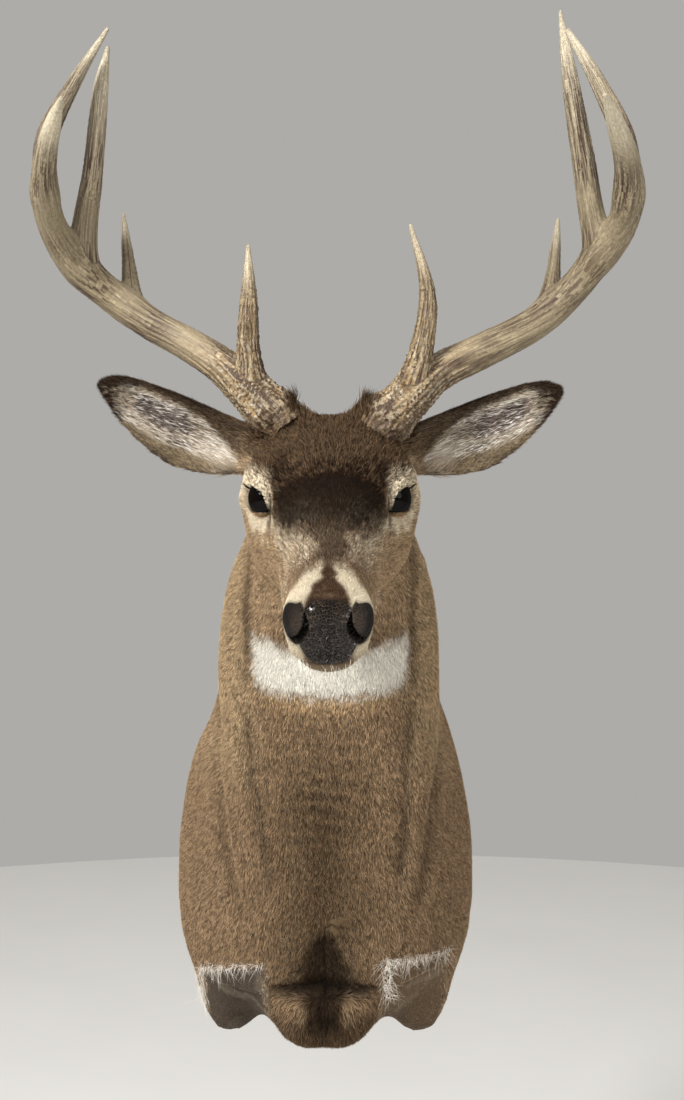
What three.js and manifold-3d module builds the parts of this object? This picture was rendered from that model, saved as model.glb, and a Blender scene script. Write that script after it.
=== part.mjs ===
// Whitetail buck shoulder mount: head, neck and shoulders on a hidden plywood backboard.
//
// Millimetres, +Z up. The wall is the plane Y = 0 and the buck looks out along -Y.
// The origin is on the backboard's rear face, on its centre line, just under the hanger.
// Left and right in the names are the buck's own, so its left side is at +X.
//
// The hide is modelled whole (trunk, neck, head, brisket and leg stumps joined), then
// parted into named pieces by thin cuts. Ears, eyes, antlers and board are pieces of their own.

import * as THREE from 'three';
import { mergeVertices } from 'three/addons/utils/BufferGeometryUtils.js';
import Module from 'manifold-3d';

const wasm = await Module();
wasm.setup();

// ---------------------------------------------------------------- driving sizes

// Gap left between neighbouring pieces.
const GAP = 0.3;
// Vertices round the body, the head and an antler.
const BODY_ROUND = 28;
const HEAD_ROUND = 28;
const BEAM_ROUND = 9;
const TINE_ROUND = 7;
// Rings along the body and the head, and steps along a beam and a tine.
const BODY_RINGS = 16;
const HEAD_RINGS = 20;
const BEAM_STEPS = 22;
const TINE_STEPS = 7;

// The buck's right side is at -X, seen on the left from the room.
const SIDES = [
  { name: 'right', sign: -1, earDrop: 0 },
  { name: 'left', sign: 1, earDrop: 6 },
];

// Trunk and neck, from the wall to the back of the head. Each station has its upper point on
// the nape line and its lower point on the brisket and throat line, both [y, z], its half
// width, the height of its widest place (-1 at the lower point, 1 at the upper one), and how
// square its upper and lower halves are (2 is an ellipse).
const REAR_EDGE = -0.8;
const BODY_SHIFT = [-7, -7, -8, -8, -7, -5, -3, -2, -1, 0, 1, 1];
const BODY_STATIONS = [
  { nape: [REAR_EDGE, 92], throat: [REAR_EDGE, -362], half: 160, widest: -0.3, upper: 1.82, lower: 3 },
  { nape: [-40, 104], throat: [-50, -372], half: 171, widest: -0.3, upper: 1.82, lower: 3 },
  { nape: [-75, 116], throat: [-110, -374], half: 168, widest: -0.3, upper: 1.82, lower: 2.9 },
  { nape: [-108, 130], throat: [-168, -358], half: 150, widest: -0.26, upper: 1.9, lower: 2.7 },
  { nape: [-138, 144], throat: [-218, -312], half: 130, widest: -0.2, upper: 2, lower: 2.5 },
  { nape: [-165, 158], throat: [-252, -250], half: 119, widest: -0.1, upper: 2, lower: 2.5 },
  { nape: [-190, 172], throat: [-275, -180], half: 115, widest: -0.04, upper: 2, lower: 2.5 },
  { nape: [-216, 188], throat: [-298, -100], half: 112, widest: 0, upper: 2, lower: 2.6 },
  { nape: [-244, 206], throat: [-322, -25], half: 106, widest: 0, upper: 2, lower: 2.8 },
  { nape: [-272, 227], throat: [-350, 35], half: 90, widest: -0.05, upper: 2, lower: 2.9 },
  { nape: [-302, 246], throat: [-378, 75], half: 73, widest: -0.1, upper: 2, lower: 2.8 },
  { nape: [-330, 261], throat: [-396, 100], half: 63, widest: -0.1, upper: 2, lower: 2.4 },
];

// Head: its own axis runs from between the eyes to the nose, pitched down.
const HEAD_PITCH = THREE.MathUtils.degToRad(34);
const HEAD_ORIGIN = new THREE.Vector3(0.3, -430, 193.7);
// Stations along that axis: place, crown height, jaw depth, half width, height of the widest place.
const HEAD_STATIONS = [
  { at: -128, crown: -10, jaw: -74, half: 36, widest: -34, upper: 2, lower: 2.2 },
  { at: -106, crown: 22, jaw: -98, half: 52, widest: -30, upper: 2, lower: 2.5 },
  { at: -80, crown: 40, jaw: -112, half: 65, widest: -26, upper: 2.5, lower: 2.7 },
  { at: -52, crown: 44, jaw: -117, half: 74, widest: -26, upper: 2.6, lower: 2.8 },
  { at: -24, crown: 42, jaw: -113, half: 76, widest: -26, upper: 2.5, lower: 2.8 },
  { at: 4, crown: 39, jaw: -102, half: 69, widest: -30, upper: 2.4, lower: 2.6 },
  { at: 32, crown: 34, jaw: -90, half: 57, widest: -34, upper: 2.2, lower: 2.4 },
  { at: 62, crown: 29, jaw: -79, half: 46, widest: -32, upper: 2.1, lower: 2.3 },
  { at: 94, crown: 24, jaw: -71, half: 38, widest: -28, upper: 2.1, lower: 2.3 },
  { at: 124, crown: 20, jaw: -66, half: 33, widest: -20, upper: 2.2, lower: 2.3 },
  { at: 148, crown: 17, jaw: -64, half: 34, widest: -14, upper: 2.4, lower: 2.1 },
  { at: 163, crown: 14, jaw: -60, half: 33, widest: -14, upper: 2.4, lower: 2.2 },
  { at: 172, crown: 9, jaw: -49, half: 29, widest: -15, upper: 2.3, lower: 2.3 },
  { at: 177, crown: 2, jaw: -40, half: 20, widest: -17, upper: 2, lower: 2.2 },
];
// Local swellings and hollows of the head: centre [along, aside, up], reach, and push outward.
const HEAD_SWELLINGS = [
  { name: 'brow', centre: [-10, 56, 26], reach: 20, push: 8 },
  { name: 'eye socket', centre: [0, 68, 0], reach: 17, push: -10 },
  { name: 'tear hollow', centre: [26, 54, -2], reach: 18, push: -9 },
  { name: 'behind the eye', centre: [-28, 76, -8], reach: 22, push: 8 },
  { name: 'cheek', centre: [6, 68, -44], reach: 26, push: 3 },
  { name: 'jaw hollow', centre: [60, 44, -58], reach: 24, push: -4 },
  { name: 'pedicle', centre: [-84, 30, 44], reach: 13, push: 10 },
  { name: 'bridge side', centre: [88, 32, 6], reach: 26, push: -4 },
  { name: 'nostril', centre: [160, 30, -4], reach: 13, push: 3 },
  { name: 'lip corner', centre: [100, 36, -42], reach: 20, push: 3 },
];

// Eyes.
const EYE_RADIUS = 17.5;
const EYE_CENTRE = [-4, 54, 0.5];
const EYE_ROUND = 14;

// Mouth: the lower jaw is parted from the head on a plane just under the upper lip.
const MOUTH_FRONT = [184, -42];
const MOUTH_REAR = [74, -48];
// Nose pad: everything in front of this slanting plane and above the mouth.
const NOSE_TOP = [163, 24];
const NOSE_BOTTOM = [168, -44];

// Ears: root and tip of the axis, and the lobe's outline along it.
const EAR_ROOT = [74, -366, 238];
const EAR_TIP = [217, -346, 306];
const EAR_FACING = [0.2, -0.95, -0.22];
const EAR_THICK = 5;
const EAR_ROWS = [
  { at: -0.06, half: 20, mid: 2, depth: 26, fill: 20 },
  { at: 0.04, half: 24, mid: 0, depth: 29, fill: 17 },
  { at: 0.14, half: 28, mid: -4, depth: 30, fill: 9 },
  { at: 0.26, half: 32, mid: -8, depth: 28, fill: 2 },
  { at: 0.4, half: 34.5, mid: -10.5, depth: 25, fill: 0 },
  { at: 0.55, half: 33, mid: -9.5, depth: 20, fill: 0 },
  { at: 0.7, half: 28, mid: -6.5, depth: 15, fill: 0 },
  { at: 0.83, half: 21.5, mid: -2.5, depth: 9.5, fill: 0 },
  { at: 0.93, half: 13.5, mid: 0.5, depth: 6, fill: 0 },
  { at: 1, half: 5, mid: 0, depth: 4, fill: 0 },
];
const EAR_ACROSS = 9;

// Leg stumps and brisket: centre and radii.
const LEG_CENTRE = [104, -88, -298];
const LEG_RADII = [40, 60, 98];
const LEG_SHIFT = -8;
const BRISKET_CENTRE = [-8, -152, -330];
const BRISKET_RADII = [60, 84, 52];
// How square the stumps and the brisket are (1 is a plain ball), and the vertices round them.
const BLOB_SQUARE = 0.8;
const BLOB_ROUND = 16;
// Cuts that part the hide: between the neck's halves and the chest, as [nape, throat] points,
// the level of the crease over the brisket, and how far aside the shoulders and stumps begin.
const HEAD_CUT = [[-318, 262], [-408, 96]];
const NECK_CUT = [[-230, 197], [-310, -62]];
const CHEST_CUT = [[-152, 151], [-238, -278]];
const CREASE_Z = -300;
const SHOULDER_ASIDE = 104;
const BRISKET_ASIDE = 58;
const MIDLINE = -8;

// Antlers: each limb is a list of [x, y, z, radius] for the buck's right (-X) and left (+X).
const ANTLERS = {
  right: {
    beam: [
      [-42, -388, 262, 20], [-53, -388, 275, 22], [-72, -386, 293, 18.5], [-97, -380, 317, 16.4],
      [-130, -370, 339, 15.2], [-167, -362, 360, 14.8], [-206, -362, 388, 15], [-234, -378, 413, 15],
      [-247, -408, 439, 13], [-247, -440, 462, 11.6], [-239, -470, 483, 9.8], [-226, -500, 501, 7],
      [-214, -525, 513, 2],
    ],
    brow: [[-70, -390, 298, 12], [-73, -402, 334, 9.6], [-72, -408, 373, 7.8], [-73, -404, 424, 1.8]],
    short: [[-183, -356, 374, 10], [-189, -342, 413, 6.9], [-193, -338, 443, 4.7], [-195, -340, 468, 1.5]],
    inner: [
      [-226, -372, 408, 12], [-222, -384, 448, 11.4], [-213, -396, 492, 9.2],
      [-205, -403, 560, 7.2], [-198, -404, 601, 1.6],
    ],
    rear: [[-249, -430, 466, 10.5], [-245, -438, 508, 9.6], [-224, -430, 557, 6.2], [-195, -418, 612, 1.6]],
  },
  left: {
    beam: [
      [42, -388, 257, 20], [53, -388, 270, 22.4], [73, -386, 288, 19], [99, -380, 312, 16.6],
      [138, -372, 332, 16.2], [185, -362, 357, 15.4], [217, -362, 383, 14.4], [241, -376, 411, 14.4],
      [260, -404, 438, 14], [261, -436, 463, 12.4], [251, -466, 485, 10.6], [235, -498, 504, 7.4],
      [222, -522, 517, 2],
    ],
    brow: [[72, -390, 296, 12.5], [83, -402, 334, 9.8], [87, -408, 380, 7.4], [72, -402, 442, 1.8]],
    short: [[203, -354, 376, 10], [210, -342, 413, 6.6], [213, -338, 441, 4.7], [215, -340, 464, 1.5]],
    inner: [
      [245, -380, 421, 12], [236, -390, 458, 11.4], [228, -398, 500, 10.4],
      [215, -404, 570, 7.6], [206, -402, 634, 1.6],
    ],
    rear: [[262, -428, 462, 11], [256, -438, 506, 10], [234, -431, 560, 7], [209, -420, 609, 2.6]],
  },
};
// Where each beam is parted, as the index of the control point.
const BEAM_CUTS = [3, 8];
const BURR_SWELL = 1.12;

// Backboard and its hanger.
const BOARD_THICK = 18;
const BOARD_INSET = 9;
const BOARD_POCKET_DEPTH = BOARD_THICK + GAP;
const HANGER_Z = 44;
const HANGER_SIZE = { wide: 22, high: 62, thick: 1.6, recess: 3 };
const KEYHOLE = { hole: 6, slot: 3, rise: 12 };
const SCREW = { radius: 2, head: 4, headThick: 1, long: 14, spread: 22 };
const NAIL_WELL_DEPTH = 9;

const COLOURS = {
  coat: '#8a7053',
  crown: '#54432f',
  face: '#7b634a',
  pale: '#d9cbb0',
  nose: '#1e1714',
  ear: '#6b5a49',
  eye: '#0d0b0a',
  antler: '#b9aa8a',
  antlerBase: '#a98a55',
  board: '#c9a877',
  steel: '#9a9b9c',
};

// ---------------------------------------------------------------- solids

// A closed geometry's shared vertices, as a solid for joining and cutting.
function solidOf(geometry) {
  const plain = geometry.clone();
  plain.deleteAttribute('normal');
  plain.deleteAttribute('uv');
  const merged = mergeVertices(plain, 1e-4);
  const mesh = new wasm.Mesh({
    numProp: 3,
    vertProperties: new Float32Array(merged.attributes.position.array),
    triVerts: new Uint32Array(merged.index.array),
  });
  return new wasm.Manifold(mesh);
}

// A solid back as a flat-shaded geometry.
function geometryOf(solid) {
  const mesh = solid.getMesh();
  const geometry = new THREE.BufferGeometry();
  geometry.setAttribute('position', new THREE.BufferAttribute(new Float32Array(mesh.vertProperties), 3));
  geometry.setIndex(new THREE.BufferAttribute(new Uint32Array(mesh.triVerts), 1));
  const faceted = geometry.toNonIndexed();
  faceted.computeVertexNormals();
  return faceted;
}

// Six times the signed volume of an indexed geometry.
function signedVolume(points, faces) {
  let sum = 0;
  for (const [a, b, c] of faces) {
    const cross = new THREE.Vector3().crossVectors(points[b], points[c]);
    sum += points[a].dot(cross);
  }
  return sum;
}

// Closed skin over a row of rings, all with the same number of points.
function loft(rings) {
  const points = rings.flat();
  const round = rings[0].length;
  const faces = [];
  for (let r = 0; r + 1 < rings.length; r++) {
    for (let i = 0; i < round; i++) {
      const a = r * round + i;
      const b = r * round + ((i + 1) % round);
      faces.push([a, b, b + round], [a, b + round, a + round]);
    }
  }
  for (const r of [0, rings.length - 1]) {
    const centre = new THREE.Vector3();
    rings[r].forEach((p) => centre.addScaledVector(p, 1 / round));
    points.push(centre);
    const hub = points.length - 1;
    for (let i = 0; i < round; i++) {
      const a = r * round + i;
      const b = r * round + ((i + 1) % round);
      faces.push(r === 0 ? [hub, b, a] : [hub, a, b]);
    }
  }
  if (signedVolume(points, faces) < 0) faces.forEach((f) => f.reverse());
  const geometry = new THREE.BufferGeometry();
  geometry.setAttribute('position', new THREE.Float32BufferAttribute(points.flatMap((p) => p.toArray()), 3));
  geometry.setIndex(faces.flat());
  return geometry;
}

// Smooth value at place t (0 to 1) along a row of evenly weighted numbers.
function along(values, t) {
  const last = values.length - 1;
  const at = Math.min(t * last, last - 1e-9);
  const i = Math.floor(at);
  const f = at - i;
  const p0 = values[Math.max(i - 1, 0)];
  const p1 = values[i];
  const p2 = values[i + 1];
  const p3 = values[Math.min(i + 2, last)];
  const bend = (2 * p0 - 5 * p1 + 4 * p2 - p3) * f * f + (3 * (p1 - p2) + p3 - p0) * f * f * f;
  return p1 + 0.5 * ((p2 - p0) * f + bend);
}

// Outline of one cross-section: points round an egg whose upper and lower halves may differ.
function egg(round, half, widest, top, bottom, upper, lower) {
  const outline = [];
  for (let i = 0; i < round; i++) {
    const angle = (2 * Math.PI * (i + 0.5)) / round;
    const c = Math.cos(angle);
    const s = Math.sin(angle);
    const power = 2 / (c > 0 ? upper : lower);
    const reach = c > 0 ? top - widest : widest - bottom;
    outline.push([half * Math.sign(s) * Math.abs(s) ** power, widest + reach * Math.sign(c) * Math.abs(c) ** power]);
  }
  return outline;
}

// A box between two corners.
function block(low, high) {
  const size = high.map((h, i) => h - low[i]);
  const geometry = new THREE.BoxGeometry(...size);
  geometry.translate(...high.map((h, i) => (h + low[i]) / 2));
  return geometry;
}

// A big block filling the half space on the side of a plane that its normal points to.
const FAR = 1500;
function halfSpace(point, normal, shift) {
  const geometry = block([-FAR, -FAR, 0], [FAR, FAR, FAR]);
  const turn = new THREE.Quaternion().setFromUnitVectors(new THREE.Vector3(0, 0, 1), normal);
  geometry.applyQuaternion(turn);
  geometry.translate(...point.clone().addScaledVector(normal, shift).toArray());
  return solidOf(geometry);
}

// A solid's two parts either side of a plane, with the gap between them.
function part(solid, point, normal) {
  const unit = normal.clone().normalize();
  const ahead = solid.intersect(halfSpace(point, unit, GAP / 2));
  const behind = solid.intersect(halfSpace(point, unit.clone().negate(), GAP / 2));
  return [ahead, behind];
}

// A ball stretched to three radii, with its sides squared a little.
function blob(centre, radii) {
  const geometry = new THREE.SphereGeometry(1, BLOB_ROUND, BLOB_ROUND * 0.75);
  const places = geometry.attributes.position;
  for (let i = 0; i < places.count * 3; i++) {
    const value = places.array[i];
    places.array[i] = Math.sign(value) * Math.abs(value) ** BLOB_SQUARE;
  }
  geometry.scale(...radii);
  geometry.translate(...centre);
  return solidOf(geometry);
}

// ---------------------------------------------------------------- body

// A station's value read along the row of body stations.
function bodyValue(read, t) {
  return along(BODY_STATIONS.map(read), t);
}

// Trunk and neck as one tapering form bent from the wall up to the head.
function makeTrunkAndNeck() {
  const rings = [];
  for (let r = 0; r < BODY_RINGS; r++) {
    const t = r / (BODY_RINGS - 1);
    const nape = new THREE.Vector3(0, bodyValue((s) => s.nape[0], t), bodyValue((s) => s.nape[1], t));
    const throat = new THREE.Vector3(0, bodyValue((s) => s.throat[0], t), bodyValue((s) => s.throat[1], t));
    const outline = egg(
      BODY_ROUND,
      bodyValue((s) => s.half, t),
      bodyValue((s) => s.widest, t),
      1,
      -1,
      bodyValue((s) => s.upper, t),
      bodyValue((s) => s.lower, t),
    );
    const shift = along(BODY_SHIFT, t);
    rings.push(outline.map(([x, height]) => {
      const point = new THREE.Vector3().lerpVectors(throat, nape, (height + 1) / 2);
      point.x = shift + x;
      return point;
    }));
  }
  return solidOf(loft(rings));
}

// A place on the head, from its own axes (along, aside, up) to the frame's.
function headPlace(forward, aside, up) {
  const y = -forward * Math.cos(HEAD_PITCH) - up * Math.sin(HEAD_PITCH);
  const z = -forward * Math.sin(HEAD_PITCH) + up * Math.cos(HEAD_PITCH);
  return new THREE.Vector3(aside, y, z).add(HEAD_ORIGIN);
}

// How far the swellings push a point of the head outward.
function headPush(forward, aside, up) {
  return HEAD_SWELLINGS.reduce((sum, { centre, reach, push }) => {
    const away = Math.hypot(forward - centre[0], Math.abs(aside) - centre[1], up - centre[2]) / reach;
    return sum + push * Math.exp(-away * away);
  }, 0);
}

// The head with its muzzle, closed behind inside the neck, its outlines let out by a swell.
function makeHead(swell) {
  const rings = [];
  const read = (key, t) => along(HEAD_STATIONS.map((s) => s[key]), t);
  for (let r = 0; r < HEAD_RINGS; r++) {
    const t = r / (HEAD_RINGS - 1);
    const at = read('at', t);
    const middle = read('widest', t);
    const outline = egg(
      HEAD_ROUND, read('half', t) + swell, middle, read('crown', t) + swell, read('jaw', t) - swell,
      read('upper', t), read('lower', t),
    );
    rings.push(outline.map(([x, h]) => {
      const out = new THREE.Vector2(x, h - middle).normalize().multiplyScalar(headPush(at, x, h));
      return headPlace(at, x + out.x, h + out.y);
    }));
  }
  return solidOf(loft(rings));
}

function makeBrisket() {
  return blob(BRISKET_CENTRE, BRISKET_RADII);
}

function makeLegStump(sign) {
  const [x, y, z] = LEG_CENTRE;
  return blob([sign * x + LEG_SHIFT, y, z], LEG_RADII);
}

// The backboard's outline: the trunk's rear outline drawn in by an inset.
function boardOutline(inset) {
  const { nape, throat, half, widest, upper, lower } = BODY_STATIONS[0];
  const top = nape[1] - inset;
  const bottom = throat[1] + inset;
  const middle = (nape[1] + throat[1]) / 2 + (widest * (nape[1] - throat[1])) / 2;
  return egg(BODY_ROUND, half - inset, middle, top, bottom, upper, lower)
    .map(([x, z]) => new THREE.Vector2(x + BODY_SHIFT[0], z));
}

// A flat plate of an outline in the XZ plane, from one depth to another (both negative Y).
function plate(outline, front, rear, holes = []) {
  const shape = new THREE.Shape(outline);
  holes.forEach((hole) => shape.holes.push(new THREE.Path(hole)));
  const geometry = new THREE.ExtrudeGeometry(shape, { depth: rear - front, bevelEnabled: false });
  geometry.rotateX(Math.PI / 2);
  geometry.translate(0, rear, 0);
  return geometry;
}

// ---------------------------------------------------------------- ears, eyes, antlers

// One ear: a cupped leaf, open to the front, filled at its root.
function makeEar(sign, drop) {
  const root = new THREE.Vector3(sign * EAR_ROOT[0] + HEAD_ORIGIN.x, EAR_ROOT[1], EAR_ROOT[2]);
  const tip = new THREE.Vector3(sign * EAR_TIP[0] + HEAD_ORIGIN.x, EAR_TIP[1], EAR_TIP[2] - drop);
  const axis = new THREE.Vector3().subVectors(tip, root);
  const facing = new THREE.Vector3(sign * EAR_FACING[0], EAR_FACING[1], EAR_FACING[2]);
  const across = new THREE.Vector3().crossVectors(axis, facing).normalize();
  if (across.z < 0) across.negate();
  facing.crossVectors(axis, across).normalize();
  if (facing.y > 0) facing.negate();
  const rings = EAR_ROWS.map(({ at, half, mid, depth, fill }) => {
    const place = (t, back) => root.clone()
      .addScaledVector(axis, at)
      .addScaledVector(across, mid + half * Math.sin((t * Math.PI) / 2))
      .addScaledVector(facing, -back);
    const ring = [];
    for (let i = 0; i < EAR_ACROSS; i++) {
      const t = (2 * i) / (EAR_ACROSS - 1) - 1;
      ring.push(place(t, depth * (1 - t * t) + EAR_THICK / 2));
    }
    for (let i = EAR_ACROSS - 2; i > 0; i--) {
      const t = (2 * i) / (EAR_ACROSS - 1) - 1;
      const inner = Math.max(depth - EAR_THICK, 0) * (1 - t * t);
      ring.push(place(t * 0.94, Math.max(inner - fill, -1) - EAR_THICK / 4));
    }
    return ring;
  });
  return solidOf(loft(rings));
}

function makeEye(sign, radius) {
  const geometry = new THREE.SphereGeometry(radius, EYE_ROUND, EYE_ROUND / 2 + 2);
  const centre = headPlace(EYE_CENTRE[0], sign * EYE_CENTRE[1], EYE_CENTRE[2]);
  geometry.translate(...centre.toArray());
  return solidOf(geometry);
}

// A tapering limb along a smooth curve through its control points.
function makeLimb(controls, round, steps, swell) {
  const curve = new THREE.CatmullRomCurve3(controls.map(([x, y, z]) => new THREE.Vector3(x, y, z)));
  const radii = controls.map((c) => c[3]);
  const frames = curve.computeFrenetFrames(steps, false);
  const rings = [];
  for (let r = 0; r <= steps; r++) {
    const t = r / steps;
    const mapped = curve.getUtoTmapping(t);
    const centre = curve.getPoint(mapped);
    const radius = Math.max(along(radii, mapped), 1) + swell;
    const ring = [];
    for (let i = 0; i < round; i++) {
      const angle = (2 * Math.PI * i) / round;
      ring.push(centre.clone()
        .addScaledVector(frames.normals[r], radius * Math.cos(angle))
        .addScaledVector(frames.binormals[r], radius * Math.sin(angle)));
    }
    rings.push(ring);
  }
  return solidOf(loft(rings));
}

// The rough collar round an antler's base.
function makeBurr(controls) {
  const [x, y, z, radius] = controls[1];
  const [nx, ny, nz] = controls[2];
  const collar = [
    new THREE.Vector2(0, -7),
    new THREE.Vector2(radius * 0.95, -6),
    new THREE.Vector2(radius * BURR_SWELL, -2),
    new THREE.Vector2(radius * BURR_SWELL, 3),
    new THREE.Vector2(radius * 0.9, 9),
    new THREE.Vector2(0, 10),
  ];
  const geometry = new THREE.LatheGeometry(collar, BEAM_ROUND + 4);
  const direction = new THREE.Vector3(nx - x, ny - y, nz - z).normalize();
  geometry.applyQuaternion(new THREE.Quaternion().setFromUnitVectors(new THREE.Vector3(0, 1, 0), direction));
  geometry.translate(x, y, z);
  return solidOf(geometry);
}

// Both solids of an antler: its pieces, and the whole used to cut its seat in the head.
function makeAntler(side) {
  const limbs = ANTLERS[side];
  const whole = makeLimb(limbs.beam, BEAM_ROUND, BEAM_STEPS, 0).add(makeBurr(limbs.beam));
  const swollen = makeLimb(limbs.beam, BEAM_ROUND, BEAM_STEPS, GAP).add(makeBurr(limbs.beam));
  const cutAt = BEAM_CUTS.map((index) => {
    const here = new THREE.Vector3(...limbs.beam[index].slice(0, 3));
    const next = new THREE.Vector3(...limbs.beam[index + 1].slice(0, 3));
    return [here, next.sub(here)];
  });
  const [outer, base] = part(whole, ...cutAt[0]);
  const [end, middle] = part(outer, ...cutAt[1]);
  const pieces = { beam_base: base, beam_middle: middle, beam_tip: end };
  for (const name of ['brow', 'short', 'inner', 'rear']) {
    pieces[`${name}_tine`] = makeLimb(limbs[name], TINE_ROUND, TINE_STEPS, 0).subtract(swollen);
  }
  return { pieces, swollen };
}

// ---------------------------------------------------------------- board and hanger

function makeBoard() {
  const outline = boardOutline(BOARD_INSET);
  const board = solidOf(plate(outline, -BOARD_THICK, 0));
  const { wide, high, recess } = HANGER_SIZE;
  const seat = block(
    [-wide / 2 - GAP, -recess, HANGER_Z - high / 2 - GAP],
    [wide / 2 + GAP, 1, HANGER_Z + high / 2 + GAP],
  );
  const well = block(
    [-KEYHOLE.hole, -recess - NAIL_WELL_DEPTH, HANGER_Z - KEYHOLE.hole],
    [KEYHOLE.hole, 1, HANGER_Z + KEYHOLE.rise + KEYHOLE.slot],
  );
  let cut = board.subtract(solidOf(seat)).subtract(solidOf(well));
  for (const sign of [-1, 1]) cut = cut.subtract(makeScrew(sign, GAP));
  return cut;
}

// Keyhole outline: a round hole with a narrower slot above it.
function keyholeOutline() {
  const outline = [];
  const start = Math.asin(KEYHOLE.slot / KEYHOLE.hole);
  const steps = 14;
  for (let i = 0; i <= steps; i++) {
    const angle = Math.PI / 2 + start + ((2 * Math.PI - 2 * start) * i) / steps;
    outline.push(new THREE.Vector2(KEYHOLE.hole * Math.cos(angle), HANGER_Z + KEYHOLE.hole * Math.sin(angle)));
  }
  for (let i = 0; i <= 6; i++) {
    const angle = (Math.PI * i) / 6;
    outline.push(new THREE.Vector2(
      KEYHOLE.slot * Math.cos(angle),
      HANGER_Z + KEYHOLE.rise + KEYHOLE.slot * Math.sin(angle),
    ));
  }
  return outline;
}

function rectangle(wide, high, z) {
  return [[-1, -1], [1, -1], [1, 1], [-1, 1]].map(([a, b]) => new THREE.Vector2((a * wide) / 2, z + (b * high) / 2));
}

function makeHangerPlate() {
  const { wide, high, thick, recess } = HANGER_SIZE;
  const front = -recess + GAP;
  const plain = solidOf(plate(rectangle(wide, high, HANGER_Z), front, front + thick, [keyholeOutline()]));
  return plain.subtract(makeScrew(-1, GAP)).subtract(makeScrew(1, GAP));
}

// A round-headed screw through the hanger plate into the board.
function makeScrew(sign, swell) {
  const rear = -HANGER_SIZE.recess + GAP + HANGER_SIZE.thick;
  const profile = [
    new THREE.Vector2(0, -SCREW.long - swell),
    new THREE.Vector2(SCREW.radius + swell, -SCREW.long + SCREW.radius - swell),
    new THREE.Vector2(SCREW.radius + swell, swell > 0 ? 2 : 0.1),
  ];
  if (swell === 0) {
    profile.push(new THREE.Vector2(SCREW.head, 0.1), new THREE.Vector2(SCREW.head * 0.7, SCREW.headThick));
  }
  profile.push(new THREE.Vector2(0, swell > 0 ? 2 : SCREW.headThick));
  const geometry = new THREE.LatheGeometry(profile, 12);
  geometry.translate(0, rear, HANGER_Z + sign * SCREW.spread);
  return solidOf(geometry);
}

// ---------------------------------------------------------------- assembly

const mount = new THREE.Group();

function addPiece(name, solid, colour, roughness, metalness = 0) {
  const material = new THREE.MeshStandardMaterial({ color: colour, roughness, metalness });
  const mesh = new THREE.Mesh(geometryOf(solid), material);
  mesh.name = name;
  mount.add(mesh);
}

// The whole hide, with the seats of the eyes, antlers, ears and board cut out of it.
function makeHide(antlers) {
  let hide = makeTrunkAndNeck().add(makeHead(0)).add(makeBrisket());
  for (const { sign } of SIDES) hide = hide.add(makeLegStump(sign));
  hide = hide.intersect(halfSpace(new THREE.Vector3(0, REAR_EDGE, 0), new THREE.Vector3(0, -1, 0), 0));
  const pocket = plate(boardOutline(BOARD_INSET - GAP), -BOARD_POCKET_DEPTH, 2);
  hide = hide.subtract(solidOf(pocket));
  for (const { name, sign } of SIDES) {
    hide = hide.subtract(makeEye(sign, EYE_RADIUS + GAP)).subtract(antlers[name].swollen);
  }
  return hide;
}

const antlers = { right: makeAntler('right'), left: makeAntler('left') };

// The plane across the neck through a nape point and a throat point, facing the head.
function neckPlane([[napeY, napeZ], [throatY, throatZ]]) {
  const upper = new THREE.Vector3(0, napeY, napeZ);
  const down = new THREE.Vector3(0, throatY - napeY, throatZ - napeZ);
  return [upper, new THREE.Vector3(0, down.z, -down.y).normalize()];
}

// A head plane through two [along, up] points, its normal turned from the first towards the second
// by a quarter turn downwards.
function headPlane([alongA, upA], [alongB, upB]) {
  const a = headPlace(alongA, 0, upA);
  const b = headPlace(alongB, 0, upB);
  const run = b.clone().sub(a);
  return [a, new THREE.Vector3(0, run.z, -run.y).normalize()];
}

// Parts a solid by several half spaces at once: what lies inside all of them, and the rest.
function carve(solid, planes) {
  const corner = (shift) => planes
    .map(([point, normal]) => halfSpace(point, normal, shift))
    .reduce((whole, next) => whole.intersect(next));
  return [solid.intersect(corner(GAP / 2)), solid.subtract(corner(-GAP / 2))];
}

const level = (z) => [new THREE.Vector3(0, 0, z), new THREE.Vector3(0, 0, -1)];
const aside = (x, sign) => [new THREE.Vector3(MIDLINE + sign * x, 0, 0), new THREE.Vector3(sign, 0, 0)];

// The hide's pieces by name.
function partHide(whole) {
  const pieces = {};
  const [headWhole, behindHead] = part(whole, ...neckPlane(HEAD_CUT));
  const [neckUpper, behindUpper] = part(behindHead, ...neckPlane(NECK_CUT));
  const [neckLower, trunk] = part(behindUpper, ...neckPlane(CHEST_CUT));
  const mouth = headPlane(MOUTH_FRONT, MOUTH_REAR);
  const aboveMouth = [mouth[0], mouth[1].clone().negate()];
  const jawRear = headPlane([MOUTH_REAR[0], 0], MOUTH_REAR);
  const [lowerJaw, upperHead] = carve(headWhole, [mouth, jawRear]);
  const [nosePad, head] = carve(upperHead, [aboveMouth, headPlane(NOSE_TOP, NOSE_BOTTOM)]);
  const [low, high] = part(trunk, ...level(CREASE_Z));
  let brisket = low;
  let chest = high;
  for (const { name, sign } of SIDES) {
    [pieces[`leg_stump_${name}`], brisket] = part(brisket, ...aside(BRISKET_ASIDE, sign));
    [pieces[`shoulder_${name}`], chest] = part(chest, ...aside(SHOULDER_ASIDE, sign));
  }
  Object.assign(pieces, {
    head, nose_pad: nosePad, lower_jaw: lowerJaw, neck_upper: neckUpper, neck_lower: neckLower, chest, brisket,
  });
  return pieces;
}

const HIDE_COLOURS = { head: COLOURS.face, nose_pad: COLOURS.nose, lower_jaw: COLOURS.pale };

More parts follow.
